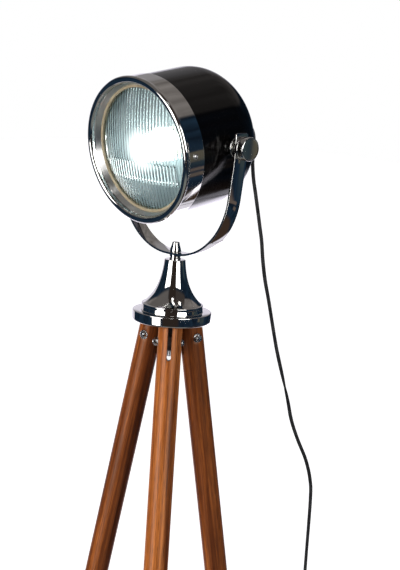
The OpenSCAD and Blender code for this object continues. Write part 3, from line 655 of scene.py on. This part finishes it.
def toned(tree, value, *stops):
    """Turns a value into a colour by stops of a position and a colour."""
    node = wire(tree, "ValToRGB", {"Fac": value})
    ramp = node.color_ramp.elements
    for at, tone in stops:
        ramp.new(at).color = (*tone, 1)
    ramp.remove(ramp[0])
    ramp.remove(ramp[-1])
    return node


leg_wood, tree, shader, place = finish("stained_hardwood", Base_Color=(0.24, 0.085, 0.035, 1), Roughness=0.34,
    Specular_IOR_Level=0.7, Specular_Tint=(1, 0.76, 0.58, 1))
run = wire(tree, "Attribute", attribute_name="grain").outputs["Vector"]
broad_map = wire(tree, "Mapping", {"Vector": run, "Scale": (34, 34, 1.6)})
broad = noise(tree, broad_map, 1, 4, Distortion=0.6)
streak_map = wire(tree, "Mapping", {"Vector": run, "Scale": (420, 420, 7)})
streak = noise(tree, streak_map, 1, 5, Roughness=0.65, Distortion=0.3)
pore_map = wire(tree, "Mapping", {"Vector": run, "Scale": (1500, 1500, 55)})
pore = noise(tree, pore_map, 1, 2)
figure = maths(tree, "MULTIPLY", broad, 0.55)
figure = maths(tree, "MULTIPLY_ADD", streak, 0.45, figure)
# Painted light and shade: each leg's painted light shift moves it along the stain's colours
painted_light_shift = wire(tree, "Attribute", attribute_name="painted_light_shift")
figure = maths(tree, "ADD", figure, painted_light_shift.outputs["Fac"])
stain = toned(tree, figure, (0.37, (0.045, 0.008, 0.001)), (0.45, (0.13, 0.029, 0.004)),
    (0.53, (0.25, 0.064, 0.009)), (0.64, (0.5, 0.155, 0.03)))
pore_mask = ranged(tree, pore, 0.5, 0.66, 0, 0.7)
grained = mixed(tree, pore_mask, stain, (0.05, 0.012, 0.003, 1))
satin = ranged(tree, streak, 0.3, 0.7, 0.3, 0.45)
grain_bump = wire(tree, "Bump", {"Height": streak, "Strength": 0.22, "Distance": 0.0006})
feed(shader, {"Base Color": grained, "Roughness": satin, "Normal": grain_bump})

leg = spun("leg_pattern", [(0, -1076), (15.7, -1076), (16.5, -1075.2), (16.5, -800), (16.5, -500),
    (16.5, -250), (16.5, -100), (16.5, -40), (16.5, -27), (16.5, -10), (16.5, 10), (16.5, 18.6)] +
    arc(14.9, 18.73, 1.6, 0, 90, 5) + [(0, 20.33)], 96)
slot_w, slot_deep, bolt_bore, seat_r = 5.8, 22, 3.06, 6.9
cut(leg, block((80, slot_w, 2 * slot_deep), (0, 0, 0)))
bored(leg, Matrix.Translation((0, 0, -slot_deep / 1000)) @ turned(90, "Y"), slot_w / 2, -40, 40, 40)
bored(leg, turned(90, "X"), bolt_bore, -40, 40, 40)
for side in (-1, 1):
    bored(leg, turned(90 * side, "X"), seat_r, 15.5, 30)
eased(leg, 0.45, 2, 38)
for index, name in enumerate(leg_turns):
    piece = copy_of(leg)
    piece.name = "wood_leg_" + name
    grain = piece.data.attributes.new("grain", "FLOAT_VECTOR", "POINT")
    for vertex, point in zip(piece.data.vertices, grain.data):
        point.vector = vertex.co + next_plank * (index + 1)
    painted_light_shift = piece.data.attributes.new("painted_light_shift", "FLOAT", "POINT")
    for point in painted_light_shift.data:
        point.value = leg_painted_light[name]
    settle(piece, leg_place(name))
    piece.data.materials.append(leg_wood)
    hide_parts("leg_" + name)
    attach(piece, name + "_leg")
bpy.data.objects.remove(leg)

# ---- foot pads
# Moulded black rubber caps pushed over the leg ends and cut level with the floor.
pad_rubber, tree, shader, place = handled("pad_rubber", 90, 0.62, 0.85, (0.024, 0.024, 0.024, 1),
    (0.045, 0.044, 0.042, 1), Base_Color=(0.03, 0.03, 0.03, 1), Roughness=0.75)
pad = spun("pad_pattern", [(0, -1110), (17.2, -1110), (17.6, -1109), (18.3, -1083), (18.3, -1081.6),
    (17.9, -1081), (17.9, -1079.8), (18.3, -1079.2), (18.3, -1077.6), (17.9, -1077), (17.9, -1075.8),
    (18.3, -1075.2)] + arc(17.5, -1067.8, 0.8, 0, 90, 4) + [(16.55, -1067), (16.55, -1076.05), (0, -1076.05)],
    96)
for name in leg_turns:
    piece = copy_of(pad)
    piece.name = "rubber_pad_" + name
    settle(piece, leg_place(name))
    edit_all()
    bpy.ops.mesh.bisect(plane_co=(0, 0, 0), plane_no=(0, 0, 1), clear_inner=True, use_fill=True)
    leave_edit()
    shaded(38)
    piece.data.materials.append(pad_rubber)
    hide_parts("foot_pad_" + name)
    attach(piece, name + "_leg")
bpy.data.objects.remove(pad)

# ---- hinge bolts, washers and nuts
# Nickel-plated machine screws: a domed head with a hexagon socket on one side of each leg, and a
# chamfered nut on the thread at the other, each over a washer.
bolt = spun("bolt_pattern", [(0, -19.95), (1.6, -19.75), (3, -19.2), (4.2, -18.2), (4.9, -17.2), (5.1, -16.7),
    (4.9, -16.55), (3, -16.55), (3, 13.5)] + threaded(3, 14, 23) + [(2.5, 23.5), (0, 23.5)], 40)
cut(bolt, rod(1.9, -21, -18, 6))
shaded(38)
washer = spun("washer_pattern", [(3.06, 15.55), (6.1, 15.55), (6.3, 15.7), (6.3, 16.35), (6.1, 16.55),
    (3.06, 16.55), (3.06, 15.55)], 48)
nut = rod(5.54, 16.56, 21.35, 6)
cone = spun("chamfer", [(0, 15), (6.6, 15), (5, 16.5), (5.75, 17), (5.75, 20.9), (4.6, 21.6), (0, 21.6)], 48)
cut(nut, cone, "INTERSECT")
cut(nut, rod(3.02, 10, 30, 32))
eased(nut, 0.15, 1, 30)
sets = {"hinge_bolts": [], "hinge_washers": [], "hinge_nuts": []}
for name in leg_turns:
    bolt_place = leg_place(name) @ turned(90, "X")
    far_side = bolt_place @ turned(180, "X")
    for pattern, where, group in ((bolt, bolt_place, "hinge_bolts"), (washer, bolt_place, "hinge_washers"),
            (washer, far_side, "hinge_washers"), (nut, bolt_place, "hinge_nuts")):
        piece = copy_of(pattern)
        settle(piece, where)
        sets[group].append(piece)
for group, copies in sets.items():
    piece = joined(*copies)
    piece.name = group + "_piece"
    piece.data.materials.append(bright_steel)
    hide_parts(group)
    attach(piece, "stand")
for pattern in (bolt, washer, nut):
    bpy.data.objects.remove(pattern)

# ---- yoke strap
# One length of 22 x 3 mm steel strip, bent to a U, its ends rounded, bored for the pivots and the
# centre rod, and chromed.
strap_mid, yoke_half, bend_r, drop_h, end_h = 1.1894, 110.5, 97.5, 154.7, 173.7
flat_half, pad_low = 7.8, 137.7
reach = math.hypot(yoke_half - flat_half, pad_low - bend_r)
lean_in = math.degrees(math.acos(bend_r / reach) - math.atan2(pad_low - bend_r, yoke_half - flat_half))
turns = [math.radians((90 - lean_in) * i / 40) for i in range(41)]
bend = [(flat_half + bend_r * math.sin(a), bend_r - bend_r * math.cos(a)) for a in turns]
line = [(0, 0)] + bend + [(yoke_half, pad_low), (yoke_half, end_h)]
bpy.ops.mesh.primitive_plane_add(size=0.022)
strap = bpy.context.object
strap.name = "yoke_strap_piece"
pick(strap, "vertices", lambda v: v.co.x > 0)
bpy.ops.transform.translate(value=(-0.011 + line[1][0] / 1000, 0, 0))
pick(strap, "vertices", lambda v: v.co.x < -0.005)
bpy.ops.transform.translate(value=(0.011, 0, 0))
pick(strap, "vertices", lambda v: v.co.x > 0.005)
for (a, b), (c, d) in zip(line[1:], line[2:]):
    pull_out(((c - a) / 1000, 0, (d - b) / 1000))
pick(strap, "edges", lambda e: all(abs(strap.data.vertices[i].co.z - pad_low / 1000) < 0.0001
    for i in e.vertices))
bpy.ops.mesh.bevel(offset=0.009, segments=6)
pick(strap, "vertices", lambda v: v.co.z > end_h / 1000 - 0.0001)
bpy.ops.mesh.bevel(offset=0.003, segments=6, affect="VERTICES")
shaped(strap, "MIRROR", use_clip=True)
shaped(strap, "SOLIDIFY", thickness=0.003, offset=0, use_even_offset=True)
edit_all()
bpy.ops.mesh.normals_make_consistent()
leave_edit()
for x in (-yoke_half, yoke_half):
    bored(strap, Matrix.Translation((x / 1000, 0, drop_h / 1000)) @ turned(90, "Y"), rod_bore, -6, 6)
cut(strap, rod(rod_bore, -5, 5))
eased(strap, 0.4, 2, 40)
settle(strap, Matrix.Translation((0, 0, strap_mid)))
strap.data.materials.append(chrome)
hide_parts("yoke_strap")
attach(strap, "yoke")

# ---- head shell
# Deep-drawn steel dome, gloss black enamel, open at the front. All head pieces are turned about the
# beam's axis, +Z forwards, and then placed with the head's tilt.
head_place = Matrix.Translation(pivot) @ turned(90 + head_tilt, "X")
enamel, tree, shader, place = finish("gloss_black_enamel", Base_Color=(0.002, 0.0018, 0.0018, 1),
    Roughness=0.12, Specular_IOR_Level=0.42)
patches = wire(tree, "Group", {"Place": place, "Scale": 14, "Low": 0.07, "High": 0.15}, node_tree=marks)
dust = noise(tree, place, 700, 3)
speck = ranged(tree, dust, 0.66, 0.78, 0, 0.22)
shade = mixed(tree, speck, (0.0018, 0.0015, 0.0016, 1), (0.02, 0.019, 0.018, 1))
feed(shader, {"Roughness": maths(tree, "ADD", patches, speck), "Base Color": shade})
roughened(tree, shader, place, 160, 1, 0.04, 0.001)

crown_r, crown_s, crown_end = 121.01, 33.51, 36.42 - 90
gland_hole = math.degrees(math.asin(6.3 / crown_r))
outer = (arc(0, crown_s, crown_r, -90 + gland_hole, crown_end, 22) + arc(38, -18, 57, crown_end, 0, 30)[1:] +
    [(95, 0), (95, 20), (95, 40), (95, 58.8), (94.8, 59)])
inner = [(93.8, 59), (93.8, 40), (93.8, 0)] + arc(38, -18, 55.8, 0, crown_end, 30) + arc(0, crown_s, crown_r -
    1.2, crown_end, -90 + gland_hole, 22)[1:]
shell = spun("head_shell_piece", outer + inner + [outer[0]], 160)
settle(shell, head_place)
shell.data.materials.append(enamel)
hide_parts("head_shell")
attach(shell, "head")

# ---- bezel
# Chromed band pushed over the shell's mouth: a hemmed rear edge, a rolled front lip, and a bright
# sloping wall inside that holds the glass, fixed by three screws.
rim = spun("bezel_piece", arc(95.7, 52.1, 0.75, 180, 360, 6) + [(96.45, 52.4), (96.45, 53), (96.45, 60),
    (96.45, 70), (96.45, 76.7), (96.45, 77.2)] + arc(93.35, 80.9, 4.5, -43, 186, 28) +
    [(88.5, 79.1), (88.25, 78.6), (88, 78.2), (87.9, 78), (86.2, 74.92), (84.45, 71.75), (84.33, 71.53)] +
    arc(84.6, 71.2, 0.4, 150, 300, 4) + [(85.5, 71.4), (87.2, 74.2), (89.2, 77.6), (92, 79.5), (95.05, 77.2),
    (95.05, 60), (94.95, 52.1)], 192)
settle(rim, head_place)
rim.data.materials.append(chrome)
satin_chrome = chrome.copy()
satin_chrome.name = "satin_chrome"
tree = satin_chrome.node_tree
shader = next(node for node in tree.nodes if node.type == "BSDF_PRINCIPLED")
tree.links.remove(shader.inputs["Roughness"].links[0])
shader.inputs["Roughness"].default_value = 0.28
rim.data.materials.append(satin_chrome)
wall = head_place.inverted()
wall_r, wall_low, wall_high = 0.0881, 0.0716, 0.0781
for face in rim.data.polygons:
    spot = wall @ face.center
    if spot.xy.length < wall_r and wall_low < spot.z < wall_high and (wall.to_3x3() @
            face.normal).xy.dot(spot.xy) < 0:
        face.material_index = 1
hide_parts("bezel_ring")
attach(rim, "head")
screw = spun("screw_pattern", [(0, 87.4), (2, 87.4), (2, 96.5), (3.5, 96.5), (3.7, 96.75), (3.55, 97.3),
    (3, 98), (2.1, 98.5), (1, 98.72), (0, 98.75)], 40)
for bar in ((4.4, 0.8, 2.4), (0.8, 4.4, 2.4)):
    cut(screw, block(bar, (0, 0, 98.9)))
eased(screw, 0.08, 1, 50)
screws, screw_s = [], 0.067
for index in range(3):
    piece = copy_of(screw)
    settle(piece, head_place @ turned(120 * index, "Z") @ Matrix.Translation((0, 0, screw_s)) @
        turned(90, "Y"))
    screws.append(piece)
bpy.data.objects.remove(screw)
screws = joined(*screws)
screws.name = "bezel_screws_piece"
screws.data.materials.append(bright_steel)
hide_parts("bezel_screws")
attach(screws, "head")

# ---- gasket
# Extruded tan rubber channel round the edge of the glass.
tan_rubber, tree, shader, place = handled("tan_rubber", 60, 0.5, 0.72, (0.2, 0.16, 0.1, 1),
    (0.3, 0.25, 0.165, 1), Base_Color=(0.27, 0.22, 0.14, 1), Roughness=0.6)
gasket = spun("lens_gasket_piece", [(81, 68.85)] + arc(82.2, 69.9, 1.2, 180, 90, 6) +
    [(84.2, 71.2), (85.9, 71.1), (85.9, 62.6), (81, 62.6), (81, 63.5), (84.1, 63.5), (84.1, 68.85),
    (81, 68.85)], 160)
settle(gasket, head_place)
gasket.data.materials.append(tan_rubber)
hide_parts("lens_gasket")
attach(gasket, "head")

# ---- glass
# Pressed glass, 3.4 mm and its flutes, domed forwards. Its face is smooth and its back has upright
# flutes, with a block of steeper prisms across the lower half, as on a headlamp. A painted glow, an
# emission strongest on the beam's axis and gone 36 mm out, stands in for the lit bulb's glare.
ball_r, ball_s, lens_edge = 0.34862, -0.27052, 0.0839
plane_z, glass_t = 0.3384, 0.0034
flute, steps, flute_deep = 0.0056, 6, 0.0005
prism_deep, prism_left, prism_right, prism_low, prism_high = 0.0016, -0.066, 0.062, -0.043, -0.017
painted_glow_r, painted_glow_top, painted_glow_fade = 0.036, 1.1, 1.8
bpy.ops.mesh.primitive_grid_add(x_subdivisions=30 * steps, y_subdivisions=84, size=30 * flute,
    location=(0, 0, plane_z))
glass = bpy.context.object
glass.name = "lens_piece"
bpy.ops.object.transform_apply()
shaped(glass, "CAST", cast_type="SPHERE", factor=1, use_radius_as_size=False, size=ball_r)
edit_all()
pull_out((0, 0, 0))
bpy.ops.transform.resize(value=[(ball_r - glass_t) / ball_r] * 3, center_override=(0, 0, 0))
leave_edit()


def flute_step(v):
    """How many steps a point of the glass's back lies from its flute's edge, or None on the face."""
    if v.co.length > ball_r - glass_t / 2:
        return None
    return round(v.co.x / v.co.z * plane_z / flute * steps) % steps


def in_prisms(v):
    x, y = v.co.x / v.co.z * plane_z, v.co.y / v.co.z * plane_z
    return prism_low < y < prism_high and prism_left < x < prism_right


for step in range(1, steps):
    rise = flute_deep * (1 - math.cos(2 * math.pi * step / steps)) / 2
    pick(glass, "vertices", lambda v: flute_step(v) == step and not in_prisms(v))
    bpy.ops.transform.translate(value=(0, 0, rise))
    pick(glass, "vertices", lambda v: flute_step(v) == step and in_prisms(v))
    bpy.ops.transform.translate(value=(0, 0, prism_deep * (step - steps) / steps))
leave_edit()
cut(glass, rod(lens_edge * 1000, 300, 360, 192), "INTERSECT")
shaded(30)
# Painted glow: an emission strength for each point of the glass, highest at the middle
painted_glow = glass.data.attributes.new("painted_glow", "FLOAT", "POINT")
for vertex, point in zip(glass.data.vertices, painted_glow.data):
    near = min(1, max(0, (painted_glow_r - vertex.co.xy.length) / painted_glow_r))
    point.value = painted_glow_top * near ** painted_glow_fade
settle(glass, head_place @ Matrix.Translation((0, 0, ball_s)))
# The glass's emission colour and strength are the painted glow of the lit bulb, not a lamp
pressed_glass, tree, shader, place = handled("pressed_glass", 24, 0.02, 0.06, (0.84, 0.94, 0.94, 1),
    (0.77, 0.89, 0.9, 1), Base_Color=(0.82, 0.93, 0.92, 1), Roughness=0.03, IOR=1.5, Transmission_Weight=1,
    Emission_Color=(0.95, 1, 1, 1))
painted_glow = wire(tree, "Attribute", attribute_name="painted_glow")
feed(shader, {"Emission Strength": painted_glow.outputs["Fac"]})
glass.data.materials.append(pressed_glass)
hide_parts("lens")
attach(glass, "head")

# ---- reflector
# Spun aluminium parabola, polished inside, with a flat rim behind the gasket and a neck round the
# lamp holder.
polished, tree, shader, place = handled("polished_aluminium", 30, 0.38, 0.48, (0.36, 0.4, 0.415, 1),
    (0.3, 0.34, 0.355, 1), Base_Color=(0.48, 0.53, 0.54, 1), Metallic=1, Roughness=0.35)
neck_r, rim_r, neck_s, bowl_deep = 21, 78.9, 0.7, 61.7
bowl_radii = [neck_r + (rim_r - neck_r) * i / 40 for i in range(41)]
bowl = [(r, neck_s + bowl_deep * (r * r - neck_r ** 2) / (rim_r ** 2 - neck_r ** 2)) for r in bowl_radii]
reflector = spun("reflector_piece", [(20.05, -11), (20.05, -0.2)] + bowl + [(79.3, 62.35), (85.8, 62.35),
    (85.8, 61.5), (78.9, 61.5), (78.3, 60.6)] + [(r, s - 1) for r, s in bowl[-3:1:-1]] +
    [(21.3, -0.9), (21.3, -11), (20.05, -11)], 128)
settle(reflector, head_place)
reflector.data.materials.append(polished)
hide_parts("reflector")
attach(reflector, "head")

# ---- bulb and holder
# Opal glass globe, 45 mm, on an aluminium screw cap in a glazed holder; the retaining ring, the lead
# and the holder sit behind the reflector.
opal, tree, shader, place = finish("opal_glass", Base_Color=(0.95, 0.94, 0.9, 1), Roughness=0.2,
    Emission_Strength=9)
mottle = wire(tree, "Group", {"Place": place, "Scale": 50, "Low": 0.15, "High": 0.28}, node_tree=marks)
glow = mixed(tree, mottle.outputs["Mask"], (1, 0.97, 0.92, 1), (0.96, 0.92, 0.86, 1))
feed(shader, {"Roughness": mottle, "Emission Color": glow})
globe = spun("bulb_globe_piece", [(0, 8.1), (13.4, 8.1), (13.5, 10), (13.9, 14), (15.2, 19)] +
    arc(0, 36, 22.4, -43, 90, 24)[:-1] + [(0, 58.4)], 96)
settle(globe, head_place)
globe.data.materials.append(opal)
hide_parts("bulb_globe")
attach(globe, "head")
cap = spun("bulb_cap_piece", [(0, -33.4), (4.8, -33.4), (5.2, -33), (11, -31)] + [(r, s) for k in range(9)
    for r, s in ((12.5, -30.5 + 3.6 * k), (13.25, -28.7 + 3.6 * k))] + [(13, 3.5), (13.25, 5), (13.25, 8),
    (0, 8)], 64)
settle(cap, head_place)
glaze, tree, shader, place = handled("glazed_holder", 80, 0.15, 0.3, (0.8, 0.77, 0.7, 1),
    (0.72, 0.68, 0.6, 1), Base_Color=(0.78, 0.75, 0.68, 1), Roughness=0.22)
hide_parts("bulb_cap")
for piece, coat, name in ((cap, polished, "cap_aluminium"), (smoothed("lamp_holder", 0.6), glaze,
        "holder_plastic"), (smoothed("retaining_ring"), zinc, "zinc_steel"), (smoothed("inner_lead"),
        cord_black, "cord_pvc")):
    piece.data.materials.append(coat)
    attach(piece, "head")

# ---- gland
# Moulded strain relief for the cord: a flange on the dome and a slotted tapering tail, held by a
# nut inside.
for piece in (smoothed("cord_gland", 0.25), smoothed("gland_nut", 0.3)):
    piece.data.materials.append(switch_black)
    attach(piece, "head")

# ---- pivots and clamp knobs
# A threaded stud with an inside nut carries the head at each side, a chromed flanged spacer keeps it
# from the strap, and a turned chrome knob with a ringed face clamps it from outside.
right_place = head_place @ turned(90, "Y")
left_place = head_place @ turned(-90, "Y")
stud_pattern = spun("stud_pattern", [(0, 86), (3.4, 86)] + threaded(4, 86.3, 94.5, 1.25, 0.55) +
    [(4, 95.2), (4, 122.6), (3.2, 123.4), (0, 123.4)], 40)
spacer_pattern = spun("spacer_pattern", [(4.05, 95.15), (6.6, 95.15), (6.95, 95.5), (6.95, 101.3),
    (7.4, 101.9), (8, 102.5)] + arc(12.7, 103.3, 0.8, -90, 0, 4) + arc(12.7, 104.3, 0.8, 0, 90, 4) +
    [(9, 105.1), (7.2, 105.4), (6.6, 106.2), (6.4, 108.85), (4.05, 108.85), (4.05, 95.15)], 72)
knob_pattern = spun("knob_pattern", [(4.06, 112.1), (12.5, 112.1), (12.9, 112.5), (12.9, 114.1),
    (13.2, 114.35)] + arc(14.1, 115.7, 1.4, -80, 0, 6) + arc(15.8, 118.4, 0.9, 245, 115, 8) + arc(14.1, 127.1,
    1.4, 0, 90, 7) + [(13.5, 128.45), (13.25, 128.2), (13.1, 128), (12.9, 128), (12.6, 127.98), (8, 127.89),
    (4, 127.84), (0, 127.82)], 96)
blind_bore(knob_pattern, 0.1121, 0.0125, 0.0010)
sides = {"stud": [], "spacer": [], "knob": []}
for kind, pattern in (("stud", stud_pattern), ("spacer", spacer_pattern), ("knob", knob_pattern)):
    for where in (right_place, left_place):
        piece = copy_of(pattern)
        settle(piece, where)
        sides[kind].append(piece)
    bpy.data.objects.remove(pattern)
studs = joined(*sides["stud"])
spacers = joined(*sides["spacer"])
studs.name, spacers.name = "pivot_studs_piece", "pivot_spacers_piece"
for piece, coat, name, node in ((studs, zinc, "zinc_steel", "pivot_studs"), (spacers, chrome, "chrome",
        "pivot_spacers"), (smoothed("stud_nuts", 0.4), zinc, "zinc_steel", "stud_nuts")):
    piece.data.materials.append(coat)
    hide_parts(node)
    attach(piece, "head")
for piece, side in zip(sides["knob"], ("right", "left")):
    piece.name = "clamp_knob_" + side
    piece.data.materials.append(chrome)
    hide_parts("knob_" + side)
    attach(piece, side + "_knob")

# ---- floor, studio and lamps
# A plain white floor and backdrop for the camera. Metal mirrors the studio round it: dark walls, a
# warm grey ceiling, two tall white light boxes in front and a pale floor near the feet.
bpy.ops.mesh.primitive_plane_add(size=24, location=(0, 0, -0.0005))
floor = bpy.context.object
floor.name = "floor"
floor_white = bpy.data.materials.new("floor_white")
floor_white.use_nodes = True
tree = floor_white.node_tree
paper = tree.nodes["Principled BSDF"]
paper.inputs["Base Color"].default_value = (0.9, 0.9, 0.9, 1)
paper.inputs["Roughness"].default_value = 0.9
rays = wire(tree, "LightPath")
spot = wire(tree, "TexCoord").outputs["Object"]
distance = wire(tree, "VectorMath", {0: spot}, operation="LENGTH")
far_off = ranged(tree, distance.outputs["Value"], 0.5, 2.2, 0.3, 0.8, interpolation_type="SMOOTHSTEP")
lift = wire(tree, "Emission", {"Color": (1, 1, 1, 1), "Strength": far_off})
lifted = wire(tree, "AddShader", {0: paper, 1: lift})
for_camera = wire(tree, "MixShader", {0: rays.outputs["Is Camera Ray"], 1: paper, 2: lifted})
clear = wire(tree, "BsdfTransparent")
for_metal = wire(tree, "MixShader", {0: rays.outputs["Is Glossy Ray"], 1: for_camera, 2: clear})
feed(tree.nodes["Material Output"], {"Surface": for_metal})
floor.data.materials.append(floor_white)

# A patch of the studio's wall between two compass turns and two heights, with soft edges
patch, patch_in, patch_out = effect("studio_patch", {"Turn": "Float", "Height": "Float", "From": "Float",
    "To": "Float", "Low": "Float", "High": "Float", "Soft": "Float"}, {"Mask": "Float"})
mask = None
for value, edge, sign in (("Turn", "From", 1), ("Turn", "To", -1), ("Height", "Low", 1),
        ("Height", "High", -1)):
    gap = maths(patch, "SUBTRACT", patch_in.outputs[value], patch_in.outputs[edge])
    inside = maths(patch, "DIVIDE", gap, patch_in.outputs["Soft"])
    ramp = ranged(patch, inside, -sign, sign, interpolation_type="SMOOTHSTEP")
    mask = ramp if mask is None else maths(patch, "MULTIPLY", mask, ramp)
feed(patch_out, {"Mask": mask})

world = bpy.data.worlds.new("studio")
bpy.context.scene.world = world
world.use_nodes = True
world.cycles.sampling_method = "NONE"
tree = world.node_tree
heading = wire(tree, "TexCoord").outputs["Generated"]
axes = wire(tree, "SeparateXYZ", {"Vector": heading})
turn_raw = maths(tree, "ARCTAN2", axes.outputs["Y"], axes.outputs["X"])
turn_now = maths(tree, "MULTIPLY", turn_raw, math.degrees(1))
rise_raw = maths(tree, "ARCSINE", axes.outputs["Z"])
rise_now = maths(tree, "MULTIPLY", rise_raw, math.degrees(1))
ceiling_dot = wire(tree, "VectorMath", {0: heading, 1: (-0.254, 0.2408, 0.94)}, operation="DOT_PRODUCT")
ceiling = ranged(tree, ceiling_dot.outputs["Value"], 0.6, 0.66, interpolation_type="SMOOTHSTEP")
cloudy = noise(tree, heading, 3.2, 4, Distortion=1.2)
ceiling_tone = toned(tree, cloudy, (0.36, (0.13, 0.118, 0.112)), (0.62, (0.26, 0.24, 0.23)))
wall_tone = toned(tree, cloudy, (0.35, (0.006, 0.012, 0.022)), (0.65, (0.014, 0.032, 0.058)))
view = mixed(tree, ceiling, wall_tone, ceiling_tone)
for start, end, low, high, soft, tone in (
        (-190, -75, 36, 95, 5, (0.13, 0.12, 0.115)),             # grey ceiling on the left
        (-75, 40, 36, 95, 5, (0.055, 0.046, 0.042)),             # brown ceiling in front
        (-70, -22, -30, 95, 5, (0.03, 0.022, 0.018)),            # dark brown between the boxes
        (-190, 190, -95, -62, 6, (0.24, 0.24, 0.235)),           # grey floor underneath
        (-75, 25, -70, -38, 6, (0.2, 0.21, 0.2)),                # and in front
        (38, 45.9, -11, 0.5, 0.5, (0.11, 0.1, 0.075)),           # olive wall on the right
        (47, 64, -14, 8, 3, (0.04, 0.058, 0.064)),               # paler teal beside it
        (50, 62, -26, -22.5, 0.8, (0.12, 0.095, 0.08)),          # brown lines below it
        (22, 58, -20.5, -17.5, 0.8, (0.13, 0.1, 0.085)),
        (20, 100, -62, -36, 3, (0.05, 0.032, 0.023)),            # brown floor on the right
        (124, 172, 14, 42, 6, (0.3, 0.29, 0.3)),                 # soft sheen behind
        (98, 130, -60, -18, 2, (0.84, 0.81, 0.91)),              # pale backdrop behind
        (126, 190, -60, 14.5, 2, (0.84, 0.81, 0.91)),
        (115, 150, -33, -12, 2, (2.3, 2.2, 2.5)),                # its brightest part, near the floor
        (-107, -70, -3, 29, 0.8, (4.5, 4.5, 4.5)),               # left light box
        (-100, -76, -22, -3, 0.8, (4.5, 4.5, 4.5)),
        (-22, 12, -2, 31, 0.8, (4.5, 4.5, 4.5)),                 # right light box
        (-50, -43.5, 56, 63, 0.6, (3, 3, 3)),                    # ceiling lamps
        (-41, -36.5, 57, 62, 0.6, (3, 3, 3))):
    window = wire(tree, "Group", {"Turn": turn_now, "Height": rise_now, "From": start, "To": end, "Low": low,
        "High": high, "Soft": soft}, node_tree=patch)
    view = mixed(tree, window.outputs["Mask"], view, (*tone, 1))
rays = wire(tree, "LightPath")
light = mixed(tree, rays.outputs["Is Glossy Ray"], (0.33, 0.33, 0.33, 1), view)
through_glass = mixed(tree, rays.outputs["Is Transmission Ray"], light, (0.6, 0.62, 0.63, 1))
shown = mixed(tree, rays.outputs["Is Camera Ray"], through_glass, (1, 1, 1, 1))
feed(tree.nodes["Background"], {"Color": shown})

for name, turn_deg, height, far, width, tall, power in (("left_box", -97, 1.55, 2.4, 1.1, 1.6, 62),
        ("right_box", -9, 1.6, 2.4, 1.1, 1.5, 16)):
    spot = Vector((far * math.cos(math.radians(turn_deg)), far * math.sin(math.radians(turn_deg)), height))
    aim = (spot - Vector((0, 0, 1.1))).to_track_quat("Z", "Y").to_euler()
    bpy.ops.object.light_add(type="AREA", location=spot, rotation=aim)
    lamp = bpy.context.object
    lamp.name = name
    lamp.data.shape = "RECTANGLE"
    lamp.data.size, lamp.data.size_y = width, tall
    lamp.data.energy = power
    lamp.visible_glossy = False
bpy.context.scene.view_settings.view_transform = "Standard"
